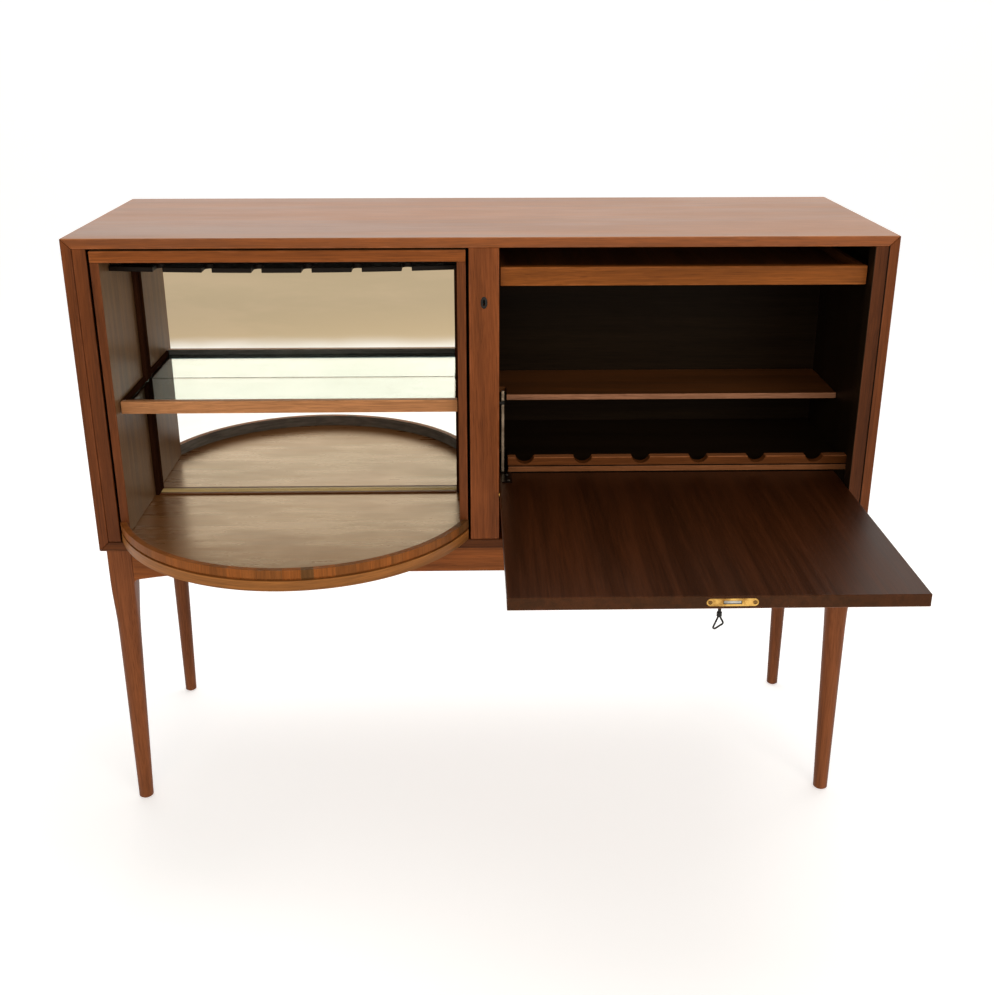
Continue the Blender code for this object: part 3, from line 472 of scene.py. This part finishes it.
# A grey that paints the shade on the shelf strip's back face.
SHADE_GREY = tones(146, 148, 148)
# Pale honey: the painted highlight on the back of the mirror bead.
HONEY_HIGHLIGHT = tones(226, 194, 128, 0.12)
SKIN = 0.0009


def toned(pair, factor):
    return [(*(part * factor for part in colour[:3]), 1.0) for colour in pair]


def skin_of(node, axis, way, depth=SKIN):
    low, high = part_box(node)
    edge = (high if way > 0 else low)["xyz".index(axis)]
    return (axis, edge - way * depth, way)


print("the top's face starts at", round(skin_of("top_panel", "z", 1)[1], 4))

# %% Cutting plan: the case and the legs
top_face = skin_of("top_panel", "z", 1)
plan = {
    "top_panel": [layer(TOP_EDGE, "x"), layer(TOP, "x", top_face, size=0.8, pores=0.35, sway=0.5)],
    "bottom_panel": [layer(toned(WARM, 0.42), "x")],
    "left_side_panel": [layer(POST, "z")],
    "right_side_panel": [layer(POST, "z"), layer(INSIDE_WITH_SHADE, "z", skin_of("right_side_panel", "x", -1))],
    "back_panel": [layer(INSIDE_WITH_SHADE, "z"), layer(toned(LEGS, 0.75), "x", skin_of("back_panel", "y", 1))],
    "bay_back": [layer(INSIDE_WITH_SHADE, "x")],
    "partition": [layer(INSIDE_WITH_SHADE, "z")],
    "left_post": [layer(POST, "z")],
    "centre_post": [layer(toned(POST, 1.35), "z")],
    "right_post": [layer(toned(POST, 0.54), "z"), layer(INSIDE_WITH_SHADE, "z", skin_of("right_post", "x", -1))],
    "front_left_leg": [layer(LEGS, "z")],
    "front_right_leg": [layer(LEGS, "z")],
    "back_left_leg": [layer(toned(LEGS, 0.85), "z")],
    "back_right_leg": [layer(toned(LEGS, 0.85), "z")],
    "front_apron": [layer(APRON, "x")],
    "back_apron": [layer(APRON, "x")],
    "left_apron": [layer(APRON, "y")],
    "right_apron": [layer(APRON, "y")],
}
print(len(plan), "boards of the case and the leg frame")

# %% Cutting plan: the right bay and the flap
flap_inside = ("z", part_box("flap_panel")[0].z + SKIN, 1)
plan.update({
    "bottle_shelf": [layer(SHELF, "x"), layer(LIPPING, "x", skin_of("bottle_shelf", "y", -1))],
    "rack_floor": [layer(INSIDE_WITH_SHADE, "x"), layer(RACK_EDGE, "x", skin_of("rack_floor", "y", -1))],
    "rack_riser": [layer(INSIDE_WITH_SHADE, "x")],
    # The rail's top face is laid paler than its front: a painted highlight.
    "bottle_rail": [layer(RAIL, "x"), layer(RAIL_TOP_HIGHLIGHT, "x", skin_of("bottle_rail", "z", 1))],
    "left_runner": [layer(INSIDE_WITH_SHADE, "y")],
    "right_runner": [layer(INSIDE_WITH_SHADE, "y")],
    "flap_panel": [layer(POST, "y"), layer(FLAP, "y", flap_inside, size=1.6, pores=0.4, sway=0.15)],
    "tray_front": [layer(TRAY, "x")],
    "tray_box": [layer(SHELF, "y")],
})
print(len(plan), "boards with the right bay and the flap")

# %% Cutting plan: the revolving bar
# The mirror bead carries a painted highlight on its back part, which shows at the foot of the mirror, and painted
# shade on its darker front part.
BEAD_HIGHLIGHT_DEPTH = 0.009
bead_highlight_side = ("y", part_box("mirror_bead")[1].y - BEAD_HIGHLIGHT_DEPTH, 1)
plan.update({
    "bar_base": [layer(FLOOR, "x", size=0.9, pores=0.2, sway=0.4)],
    "bar_left_side": [layer(WALL, "z"), layer(toned(POST, 0.8), "z", skin_of("bar_left_side", "y", -1))],
    "bar_right_side": [layer(WALL, "z"), layer(toned(POST, 0.9), "z", skin_of("bar_right_side", "y", -1))],
    "bar_top": [layer(WALL, "x"), layer(WARM, "x", skin_of("bar_top", "y", -1))],
    "bar_closed_front": [layer(POST, "z")],
    "mirror_backing": [layer(WALL, "x")],
    "left_mirror_batten": [layer(REDDISH, "z")],
    "right_mirror_batten": [layer(REDDISH, "z")],
    "mirror_bead": [layer(SHELF, "x"), layer(HONEY_HIGHLIGHT, "x", bead_highlight_side, pores=0.2)],
    # The strip's back face, seen in the mirror, is painted grey as painted shade.
    "shelf_strip": [layer(TAN, "x"), layer(SHADE_GREY, "x", skin_of("shelf_strip", "y", 1))],
    "left_bearer": [layer(REDDISH, "y")],
    "right_bearer": [layer(REDDISH, "y")],
    # The stem rack and its hangers carry painted shade on top of their dark timber.
    "stem_rack": [layer(COAL_AND_SHADE, "x")],
    "left_rack_hanger": [layer(COAL_AND_SHADE, "y")],
    "right_rack_hanger": [layer(COAL_AND_SHADE, "y")],
})
print(len(plan), "boards with the bar")

# %% Sheen of the boards
sheens = {
    "top_panel": {"rough": 0.34, "gloss": 0.35},
    "bar_base": {"rough": 0.30, "gloss": 1.0, "tinge": (1.0, 0.72, 0.40, 1.0), "haze": (0.07, 4.0)},
    "flap_panel": {"rough": 0.36, "gloss": 0.26, "tinge": (1.0, 0.64, 0.38, 1.0)},
}
for name in ("left_mirror_batten", "right_mirror_batten", "left_bearer", "right_bearer"):
    sheens[name] = {"gloss": 0.0, "worn": 0.1}
for name in ("bay_back", "partition", "rack_riser", "left_runner", "right_runner"):
    sheens[name] = {"gloss": 0.05}
finishes = {}
for name, layers in plan.items():
    finishes[name] = timber(name + "_timber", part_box(name), layers, **sheens.get(name, {}))
print(len(finishes), "timber finishes")

# %% [markdown]
# ## Metal, mirror and glass
# The hardware is small but bright. Brass tarnishes in clouds, iron keeps a dull black skin, the flap's nickel
# stay is blackened at its foot, and an old mirror has faint wiping marks. Only roughness and colour change
# over the surface; how metallic or clear a thing is stays one plain number.

# %% Metal recipe
BLACKENED = linear(30, 24, 20)


def metal(name, bright, dull, rough=0.3, metallic=1.0, grain=60.0, black_below=None, fade=0.004):
    material, tree, shader, spot = new_material(name)
    tarnish = ramp(tree, cloud(tree, spot, (grain,) * 3, 4.0, 0.6), 0.38, 0.68)
    colour = tint(tree, tarnish, linear(*bright), linear(*dull))
    if black_below is not None:
        foot = ramp(tree, apart(tree, spot)["Z"], black_below + fade, black_below)
        colour = tint(tree, foot, colour, BLACKENED)
    brushed = cloud(tree, spot, (grain * 3, grain * 22, grain * 22))
    marks = reckon(tree, "MULTIPLY", brushed, 0.12)
    satin = reckon(tree, "ADD", reckon(tree, "MULTIPLY", tarnish, 0.16), marks)
    satin = reckon(tree, "ADD", satin, rough - 0.1, clamp=True)
    feed(tree, shader, {"Base Color": colour, "Roughness": satin, "Metallic": metallic})
    emboss(tree, shader, brushed, 0.08, 0.0002)
    return material


flap_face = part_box("flap_panel")[1].z
brass = metal("old_brass", (214, 172, 96), (150, 108, 52))
bronze = metal("dark_bronze", (132, 100, 58), (92, 66, 38), rough=0.36)
nickel = metal("dull_nickel", (196, 180, 160), (150, 134, 116), rough=0.34, black_below=flap_face + 0.003)
steel = metal("dull_steel", (176, 174, 168), (128, 125, 119), rough=0.36)
iron = metal("black_iron", (34, 33, 32), (20, 19, 18), rough=0.48, metallic=0.6)
print("metals:", brass.name, bronze.name, nickel.name, steel.name, iron.name)

# %% Mirror and glass
silver, tree, shader, spot = new_material("silvered_glass")
haze = use(tree, handled, spot, Size=1.6)["Haze"]
feed(tree, shader, {
    "Base Color": tint(tree, ramp(tree, haze, -0.5, 0.5), linear(243, 243, 240), linear(236, 237, 233)),
    "Roughness": ramp(tree, haze, -0.5, 0.5, 0.006, 0.03),
    "Metallic": 1.0,
})

clear, tree, shader, spot = new_material("clear_glass")
haze = use(tree, handled, spot, Size=2.2)["Haze"]
feed(tree, shader, {
    "Base Color": tint(tree, ramp(tree, haze, -0.5, 0.5), linear(150, 170, 171), linear(144, 165, 165)),
    "Roughness": ramp(tree, haze, -0.2, 0.5, 0.0, 0.035),
    "Transmission Weight": 1.0,
    "IOR": 1.5,
})

green, tree, shader, spot = new_material("glass_edge")
ground = cloud(tree, spot, (240, 240, 240), 3.0)
feed(tree, shader, {
    "Base Color": tint(tree, ground, linear(20, 40, 30), linear(34, 58, 46)),
    "Roughness": ramp(tree, ground, 0.3, 0.7, 0.12, 0.26),
})
emboss(tree, shader, ground, 0.1, 0.0003)
print("mirror and glass:", silver.name, clear.name, green.name)

# %% Hardware plan
finishes.update({
    "lower_pivot": steel, "upper_pivot": steel, "pivot_washer": steel, "stay_peg": iron, "flap_stay": nickel,
    "left_flap_pin": brass, "right_flap_pin": brass, "flap_lock_plate": brass, "key_plate": brass,
    "flap_bolt": steel, "bar_bolt": iron, "bar_keyhole_plate": iron, "flap_key": iron,
    "mirror": silver, "glass_shelf": clear,
})
for name, material in finishes.items():
    solids[name].data.materials.clear()
    solids[name].data.materials.append(material)
print("without a finish:", sorted(set(solids) - set(finishes)))

# %% [markdown]
# ## Round pieces with a smooth skin
# Legs, curved aprons, pins and the key are round on the real cabinet, while their solids are made of small
# flats. More flats would only hide that. A copy of the solid, with its loose triangles merged, can be shaded
# as one round skin that keeps its true corners: every edge that turns more sharply than an angle stays sharp.

# %% Smooth copies of the round solids
TOUCHING = 0.00001


def smooth_skin(mesh, angle=32):
    for face in mesh.polygons:
        face.use_smooth = True
    mesh.set_sharp_from_angle(angle=math.radians(angle))


def merged_copy(node):
    form = bmesh.new()
    form.from_mesh(solids[node].data)
    bmesh.ops.remove_doubles(form, verts=form.verts[:], dist=TOUCHING)
    mesh = bpy.data.meshes.new(node + "_skin")
    form.to_mesh(mesh)
    form.free()
    if "custom_normal" in mesh.attributes:
        mesh.attributes.remove(mesh.attributes["custom_normal"])
    mesh.materials.clear()
    mesh.materials.append(finishes[node])
    return mesh


def stand_in(mesh, name, *nodes):
    piece = bpy.data.objects.new(name, mesh)
    scene.collection.objects.link(piece)
    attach(piece, body_of[nodes[0]])
    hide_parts(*nodes)


rounded = [
    "front_left_leg", "front_right_leg", "back_left_leg", "back_right_leg", "front_apron", "back_apron",
    "left_apron", "right_apron", "left_post", "centre_post", "bar_base", "stem_rack", "bottle_rail",
    "glass_shelf", "flap_key", "key_plate", "left_flap_pin", "right_flap_pin", "stay_peg", "lower_pivot",
    "upper_pivot", "pivot_washer", "bar_keyhole_plate",
]
for node in rounded:
    skin = merged_copy(node)
    smooth_skin(skin)
    if node == "glass_shelf":
        skin.materials.append(green)
        for face in skin.polygons:
            face.material_index = int(abs(face.normal.z) < 0.9)
    stand_in(skin, node + "_smooth", node)
print(len(rounded), "smooth copies")

# %% [markdown]
# ## Bent round the bar's axis
# The rim of the bar's bowed floor is two things: a plain band round the floor's edge, and above it a wall
# built as a cooper builds a tub. Both are easier to make straight and then bend. So the bend comes first, as a
# Geometry Nodes group of its own: a straight strip from 0 to 1 along X is wrapped round the axis that the bar
# turns on, and cut off at the front of the case. It also stores how deep in the strip each point was, for the
# materials to read.

# %% Geometry Nodes: the bend
INTEGER, SHAPE, STUFF = "NodeSocketInt", "NodeSocketGeometry", "NodeSocketMaterial"
ARC_SIZES = [
    ("Axis", VECTOR, (0, 0, 0)),
    ("Radius", FLOAT, 0.31),
    ("Thickness", FLOAT, 0.01),
    ("Height", FLOAT, 0.018),
    ("Half Turn", FLOAT, 1.2),
    ("Front", FLOAT, 0.0),
]
bend, given, wanted = new_group("bend_round_axis", [("Strip", SHAPE, None)] + ARC_SIZES, [("Arc", SHAPE)],
                                "GeometryNodeTree")
along, deep, up = apart(bend, put(bend, "GeometryNodeInputPosition").outputs[0])
feeds = {"Geometry": given["Strip"], "Name": "strip_depth", "Value": deep}
marked = put(bend, "GeometryNodeStoreNamedAttribute", feeds, data_type="FLOAT", domain="POINT").outputs[0]
swing = reckon(bend, "SUBTRACT", reckon(bend, "MULTIPLY", along, 2.0), 1.0)
turn = reckon(bend, "MULTIPLY", swing, given["Half Turn"])
inward = reckon(bend, "MULTIPLY", reckon(bend, "ADD", deep, 0.5), given["Thickness"])
radius = reckon(bend, "SUBTRACT", given["Radius"], inward)
axis = apart(bend, given["Axis"])
bent_x = reckon(bend, "ADD", axis[0], reckon(bend, "MULTIPLY", radius, reckon(bend, "SINE", turn)))
bent_y = reckon(bend, "SUBTRACT", axis[1], reckon(bend, "MULTIPLY", radius, reckon(bend, "COSINE", turn)))
bent_z = reckon(bend, "ADD", axis[2], reckon(bend, "MULTIPLY", reckon(bend, "ADD", up, 0.5), given["Height"]))
bent = joined(bend, bent_x, reckon(bend, "MINIMUM", bent_y, given["Front"]), bent_z)
curved = put(bend, "GeometryNodeSetPosition", {"Geometry": marked, "Position": bent}).outputs[0]
bend.links.new(curved, wanted["Arc"])
print("the bend:", len(bend.nodes), "nodes")


# %% Geometry Nodes: the band
def bend_and_paint(tree, given, strip):
    sizes = {label: given[label] for label, *_ in ARC_SIZES}
    arc = put(tree, "GeometryNodeGroup", {"Strip": strip, **sizes}, node_tree=bend).outputs[0]
    solid = put(tree, "GeometryNodeRealizeInstances", {"Geometry": arc}).outputs[0]
    return put(tree, "GeometryNodeSetMaterial", {"Geometry": solid, "Material": given["Material"]}).outputs[0]


band, given, wanted = new_group("edge_band", ARC_SIZES + [("Material", STUFF, None)], [("Mesh", SHAPE)],
                                "GeometryNodeTree")
strip = put(band, "GeometryNodeMeshCube", {"Size": (1.0, 1.0, 1.0), "Vertices X": 97}).outputs[0]
started = put(band, "GeometryNodeTransform", {"Geometry": strip, "Translation": (0.5, 0.0, 0.0)}).outputs[0]
band.links.new(bend_and_paint(band, given, started), wanted["Mesh"])
print("the band:", len(band.nodes), "nodes")

# %% [markdown]
# ## The coopered rim
# The wall of the rim is short upright staves, side by side, each from a different piece of timber and no two
# of one width. They could be modelled one by one, but they follow a rule, so Geometry Nodes make them. A row
# of boxes stands on a straight line, the borders between them are nudged by a random amount, and the row goes
# through the bend. Each stave keeps a random number, its tint. The front of a stave is cut in rows: the lower
# rows are pushed back, which leaves the dark groove above the band, and the stave is still one closed block.

# %% Geometry Nodes: uneven borders
rim, given, wanted = new_group(
    "coopered_rim",
    ARC_SIZES + [
        ("Groove Depth", FLOAT, 0.003),
        ("Groove Height", FLOAT, 0.004),
        ("Staves", INTEGER, 24),
        ("Unevenness", FLOAT, 0.6),
        ("Joint", FLOAT, 0.012),
        ("Seed", INTEGER, 5),
        ("Material", STUFF, None),
    ],
    [("Mesh", SHAPE)],
    "GeometryNodeTree",
)
number = put(rim, "GeometryNodeInputIndex").outputs[0]


def border(step):
    place = reckon(rim, "ADD", number, step)
    feeds = {2: -0.5, 3: 0.5, 7: place, 8: given["Seed"]}
    nudge = put(rim, "FunctionNodeRandomValue", feeds, data_type="FLOAT").outputs[1]
    inside = reckon(rim, "MULTIPLY", reckon(rim, "GREATER_THAN", place, 0.5),
                    reckon(rim, "LESS_THAN", place, reckon(rim, "SUBTRACT", given["Staves"], 0.5)))
    moved = reckon(rim, "MULTIPLY", reckon(rim, "MULTIPLY", nudge, given["Unevenness"]), inside)
    return reckon(rim, "DIVIDE", reckon(rim, "ADD", place, moved), given["Staves"])


start, end = border(0.0), border(1.0)
centre = reckon(rim, "MULTIPLY", reckon(rim, "ADD", start, end), 0.5)
filled = reckon(rim, "SUBTRACT", 1.0, given["Joint"])
breadth = reckon(rim, "MULTIPLY", reckon(rim, "SUBTRACT", end, start), filled)
print("border rule:", len(rim.nodes), "nodes so far")

# %% Geometry Nodes: one stave and its groove
cut_high = reckon(rim, "DIVIDE", given["Groove Height"], given["Height"])
cut_deep = reckon(rim, "DIVIDE", given["Groove Depth"], given["Thickness"])
feeds = {"Size": (1.0, 1.0, 1.0), "Vertices X": 5, "Vertices Z": 4}
block = put(rim, "GeometryNodeMeshCube", feeds).outputs[0]
across, back, level = apart(rim, put(rim, "GeometryNodeInputPosition").outputs[0])
set_in = reckon(rim, "MULTIPLY", cut_deep, reckon(rim, "LESS_THAN", level, 0.0))
between = reckon(rim, "LESS_THAN", reckon(rim, "ABSOLUTE", level), 0.4)
to_ledge = reckon(rim, "SUBTRACT", reckon(rim, "SUBTRACT", cut_high, 0.5), level)
ledge = reckon(rim, "ADD", level, reckon(rim, "MULTIPLY", between, to_ledge))
grooved = joined(rim, across, reckon(rim, "ADD", back, set_in), ledge)
feeds = {"Geometry": block, "Selection": reckon(rim, "LESS_THAN", back, 0.0), "Position": grooved}
stave = put(rim, "GeometryNodeSetPosition", feeds).outputs[0]
print("with the stave:", len(rim.nodes), "nodes")

# %% Geometry Nodes: the row of staves
OTHER_SEED = 7.0
line = put(rim, "GeometryNodeMeshLine", {"Count": given["Staves"]}).outputs[0]
row = put(rim, "GeometryNodeSetPosition", {"Geometry": line, "Position": joined(rim, centre)}).outputs[0]
feeds = {"Points": row, "Instance": stave, "Scale": joined(rim, breadth, 1.0, 1.0)}
placed = put(rim, "GeometryNodeInstanceOnPoints", feeds).outputs[0]
feeds = {2: 0.0, 3: 1.0, 7: number, 8: reckon(rim, "ADD", given["Seed"], OTHER_SEED)}
chance = put(rim, "FunctionNodeRandomValue", feeds, data_type="FLOAT").outputs[1]
feeds = {"Geometry": placed, "Name": "stave_tint", "Value": chance}
tinted = put(rim, "GeometryNodeStoreNamedAttribute", feeds, data_type="FLOAT", domain="INSTANCE").outputs[0]
solid_row = put(rim, "GeometryNodeRealizeInstances", {"Geometry": tinted}).outputs[0]
rim.links.new(bend_and_paint(rim, given, solid_row), wanted["Mesh"])
print("coopered rim:", len(rim.nodes), "nodes")


# %% Run a tree once and keep the mesh
def grown(name, tree, sizes, places=()):
    seed_mesh = bpy.data.meshes.new(name + "_places")
    seed_mesh.from_pydata([tuple(place) for place in places], [], [])
    sprout = bpy.data.objects.new(name + "_sprout", seed_mesh)
    scene.collection.objects.link(sprout)
    modifier = sprout.modifiers.new("made", "NODES")
    modifier.node_group = tree
    for item in tree.interface.items_tree:
        if item.in_out == "INPUT" and item.name in sizes:
            modifier[item.identifier] = sizes[item.name]
    graph = bpy.context.evaluated_depsgraph_get()
    ready = sprout.evaluated_get(graph)
    made = bpy.data.meshes.new_from_object(ready, preserve_all_data_layers=True, depsgraph=graph)
    bpy.data.objects.remove(sprout)
    made.name = name
    return made


print("trees can be run")

# %% [markdown]
# ## Timber of the rim
# On the real rim the staves are all of one orange brown, with a few olive ones among them. The inside face is
# painted a dull grey brown as painted shade, since light falls on the rim from the front. The stave's own
# random number picks the timber and shifts the figure, so that no grain runs on across a joint. The band below
# is a single strip whose grain runs round it, so its finish reads the angle about the axis in place of X.

# %% Stave finish
ORANGE, OLIVE = tones(147, 85, 38), tones(96, 66, 36)
# Grey tones of painted shade for the rim's inner face.
INNER_SHADE_DARK, INNER_SHADE_PALE = linear(116, 110, 104), linear(142, 136, 128)
axle = joints["bar_turn"]["pos_m"]
lip_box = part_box("bar_lip")
mixed, tree, shader, spot = new_material("stave_timber")
tint_of = put(tree, "ShaderNodeAttribute", attribute_name="stave_tint").outputs["Fac"]
depth_of = put(tree, "ShaderNodeAttribute", attribute_name="strip_depth").outputs["Fac"]
away = joined(tree, reckon(tree, "MULTIPLY", tint_of, 9.0), reckon(tree, "MULTIPLY", tint_of, 5.0))
own_spot = shift(tree, "ADD", spot, away)
orange = lay(tree, own_spot, layer(ORANGE, "z", size=1.4), (0, 0, 0))
olive = lay(tree, own_spot, layer(OLIVE, "z", size=1.4), (1, 2, 0))
all_a_little = ramp(tree, tint_of, 0.0, 0.8, 0.0, 0.35)
few = reckon(tree, "ADD", all_a_little, ramp(tree, tint_of, 0.86, 0.90, 0.0, 0.55))
colour = tint(tree, few, orange["Colour"], olive["Colour"])
streaks = ramp(tree, cloud(tree, spot, (30, 30, 200), 3.0), 0.3, 0.7)
inner_shade = tint(tree, streaks, INNER_SHADE_DARK, INNER_SHADE_PALE)
# The inner face of each stave takes the painted shade in place of timber.
colour = tint(tree, ramp(tree, depth_of, 0.46, 0.49), colour, inner_shade)
lacquer(tree, shader, spot, colour, orange, lip_box, rough=0.40, gloss=0.05, worn=0.2, worn_width=0.002,
        bump=0.15)
print("staves are cut from", orange["Colour"].node.node_tree.name)

# %% Band finish
ROUND_RADIUS = 0.31
banded, tree, shader, spot = new_material("band_timber")
east, north, rise = apart(tree, shift(tree, "SUBTRACT", spot, axle))
angle = reckon(tree, "ARCTAN2", east, reckon(tree, "MULTIPLY", north, -1.0))
unrolled = joined(tree, reckon(tree, "MULTIPLY", angle, ROUND_RADIUS), rise)
strip_wood = lay(tree, unrolled, layer(EDGE, "x", size=1.2), (2, 1, 0))
lacquer(tree, shader, spot, strip_wood["Colour"], strip_wood, lip_box, rough=0.38, gloss=0.12, worn=0.4,
        worn_width=0.002)
print("band finish:", banded.name)

# %% Rim and band
BAND_HIGH, BAND_THICK = 0.0170, 0.0040
STAVE_THICK = 0.0105
GROOVE_HIGH = 0.0042
CLEAR_OF_FLOOR = 0.0003
reach = axle[1] - lip_box[0].y
floor_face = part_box("bar_base")[1].z + CLEAR_OF_FLOOR
arc_sizes = {
    "Axis": (axle[0], axle[1], floor_face), "Radius": reach, "Front": lip_box[1].y,
    "Half Turn": math.acos((axle[1] - lip_box[1].y) / reach),
}
staves = grown("coopered_rim", rim, {
    **arc_sizes, "Thickness": STAVE_THICK, "Height": lip_box[1].z - floor_face, "Groove Depth": BAND_THICK,
    "Groove Height": lip_box[0].z + BAND_HIGH + GROOVE_HIGH - floor_face, "Staves": 26, "Unevenness": 0.75,
    "Joint": 0.006, "Seed": 11, "Material": mixed,
})
smooth_skin(staves, 20)
stand_in(staves, "coopered_rim", "bar_lip")
hoop = grown("edge_band", band, {
    **arc_sizes, "Axis": (axle[0], axle[1], lip_box[0].z), "Thickness": BAND_THICK, "Height": BAND_HIGH,
    "Material": banded,
})
smooth_skin(hoop, 20)
hoop_piece = bpy.data.objects.new("edge_band", hoop)
scene.collection.objects.link(hoop_piece)
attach(hoop_piece, "bar")
print("rim:", len(staves.polygons), "faces, band:", len(hoop.polygons), "faces, radius", round(reach, 4))

# %% [markdown]
# ## Slotted screws
# Screws of this age have a single slot, and no two slots point the same way. One tree makes a domed head, cuts
# its slot, and puts a copy on each given place with a random turn about the way it faces. Each body gets its
# own mesh of screws, because they travel with different parts.

# %% Geometry Nodes: slotted screws
screw, given, wanted = new_group(
    "slotted_screws",
    [
        ("Places", SHAPE, None),
        ("Facing", VECTOR, (0, 0, 1)),
        ("Radius", FLOAT, 0.003),
        ("Dome", FLOAT, 0.001),
        ("Slot", FLOAT, 0.0007),
        ("Seed", INTEGER, 1),
        ("Material", STUFF, None),
    ],
    [("Mesh", SHAPE)],
    "GeometryNodeTree",
)
ball = put(screw, "GeometryNodeMeshUVSphere", {"Segments": 24, "Rings": 12, "Radius": 1.0}).outputs[0]
flat = joined(screw, given["Radius"], given["Radius"], given["Dome"])
head = put(screw, "GeometryNodeTransform", {"Geometry": ball, "Scale": flat}).outputs[0]
across = reckon(screw, "MULTIPLY", given["Radius"], 2.4)
notch = joined(screw, across, given["Slot"], given["Dome"])
bar = put(screw, "GeometryNodeMeshCube", {"Size": notch}).outputs[0]
lift = joined(screw, z=reckon(screw, "MULTIPLY", given["Dome"], 0.9))
raised = put(screw, "GeometryNodeTransform", {"Geometry": bar, "Translation": lift}).outputs[0]
feeds = {"Mesh 1": head, "Mesh 2": raised}
slotted = put(screw, "GeometryNodeMeshBoolean", feeds, operation="DIFFERENCE").outputs[0]
print("one slotted head:", len(screw.nodes), "nodes so far")

# %% Geometry Nodes: screws on their places
aligned = put(screw, "FunctionNodeAlignRotationToVector", {"Vector": given["Facing"]}, axis="Z").outputs[0]
feeds = {2: 0.0, 3: math.pi, 8: given["Seed"]}
spin = put(screw, "FunctionNodeRandomValue", feeds, data_type="FLOAT").outputs[1]
feeds = {"Rotation": aligned, "Rotate By": joined(screw, z=spin)}
spun = put(screw, "FunctionNodeRotateRotation", feeds, rotation_space="LOCAL").outputs[0]
feeds = {"Points": given["Places"], "Instance": slotted, "Rotation": spun}
driven = put(screw, "GeometryNodeInstanceOnPoints", feeds).outputs[0]
loose = put(screw, "GeometryNodeRealizeInstances", {"Geometry": driven}).outputs[0]
feeds = {"Geometry": loose, "Material": given["Material"]}
screw.links.new(put(screw, "GeometryNodeSetMaterial", feeds).outputs[0], wanted["Mesh"])
print("slotted screws:", len(screw.nodes), "nodes")


# %% Screws on the stay and the back
def drive(name, body, places, facing, radius, dome, slot, seed, material):
    sizes = {"Facing": facing, "Radius": radius, "Dome": dome, "Slot": slot, "Seed": seed, "Material": material}
    mesh = grown(name, screw, sizes, places)
    smooth_skin(mesh)
    piece = bpy.data.objects.new(name, mesh)
    scene.collection.objects.link(piece)
    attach(piece, body)


STAY_FOOT_THICK = 0.0018
low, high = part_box("flap_stay")
foot_face = flap_face + STAY_FOOT_THICK
foot_places = [(low.x + 0.0088, high.y - 0.013, foot_face), (low.x + 0.0115, high.y - 0.040, foot_face)]
drive("stay_screws", "flap", foot_places, (0, 0, 1), radius=0.0026, dome=0.0009, slot=0.0006, seed=4,
      material=steel)

FROM_EDGE = 0.010
BAYS_ALONG, BAYS_UP = 8, 4
low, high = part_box("back_panel")
first, last = low + Vector((FROM_EDGE,) * 3), high - Vector((FROM_EDGE,) * 3)
steps_x = [first.x + (high.x - low.x - 2 * FROM_EDGE) * n / BAYS_ALONG for n in range(BAYS_ALONG + 1)]
steps_z = [first.z + (high.z - low.z - 2 * FROM_EDGE) * n / BAYS_UP for n in range(1, BAYS_UP)]
back_places = [(x, high.y, z) for x in steps_x for z in (first.z, last.z)]
back_places += [(x, high.y, z) for z in steps_z for x in (first.x, last.x)]
drive("back_screws", "carcass", back_places, (0, 1, 0), radius=0.0034, dome=0.0012, slot=0.0008, seed=9,
      material=steel)
print(len(back_places), "screws hold the back")

# %% [markdown]
# ## The lock's face plate
# The brass plate lies flush in the flap's free edge, and its two screws lie flush in the plate, so each needs
# a hole of its own. A Boolean on a merged copy of the plate drills both, and the screws are set just below the
# face.

# %% Drill for the plate
HOLE_OUT, HOLE_RADIUS, DRILL_LONG = 0.031, 0.0031, 0.0024
low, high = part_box("flap_lock_plate")
plate_mid = (low + high) / 2
holes = [(plate_mid.x + way * HOLE_OUT, plate_mid.z) for way in (-1, 1)]
drill = bmesh.new()
for x, z in holes:
    made = bmesh.ops.create_cone(drill, cap_ends=True, segments=32, radius1=HOLE_RADIUS, radius2=HOLE_RADIUS,
                                 depth=DRILL_LONG)
    for vert in made["verts"]:
        vert.co = Vector((x + vert.co.x, low.y + vert.co.z, z - vert.co.y))
drill_mesh = bpy.data.meshes.new("plate_drill")
drill.to_mesh(drill_mesh)
drill.free()
print("drill:", len(drill_mesh.polygons), "faces")

# %% Drilled plate and its screws
SCREW_SUNK = 0.0006
drill_piece = bpy.data.objects.new("plate_drill", drill_mesh)
blank = bpy.data.objects.new("plate_blank", merged_copy("flap_lock_plate"))
for item in (drill_piece, blank):
    scene.collection.objects.link(item)
hole = blank.modifiers.new("drilled", "BOOLEAN")
hole.object = drill_piece
hole.operation = "DIFFERENCE"
graph = bpy.context.evaluated_depsgraph_get()
drilled = bpy.data.meshes.new_from_object(blank.evaluated_get(graph))
for item in (drill_piece, blank):
    bpy.data.objects.remove(item)
smooth_skin(drilled)
stand_in(drilled, "lock_face_plate", "flap_lock_plate")
places = [(x, low.y + SCREW_SUNK, z) for x, z in holes]
drive("plate_screws", "flap", places, (0, -1, 0), radius=0.0029, dome=0.0005, slot=0.0007, seed=2,
      material=bronze)
print("plate:", len(drilled.polygons), "faces")
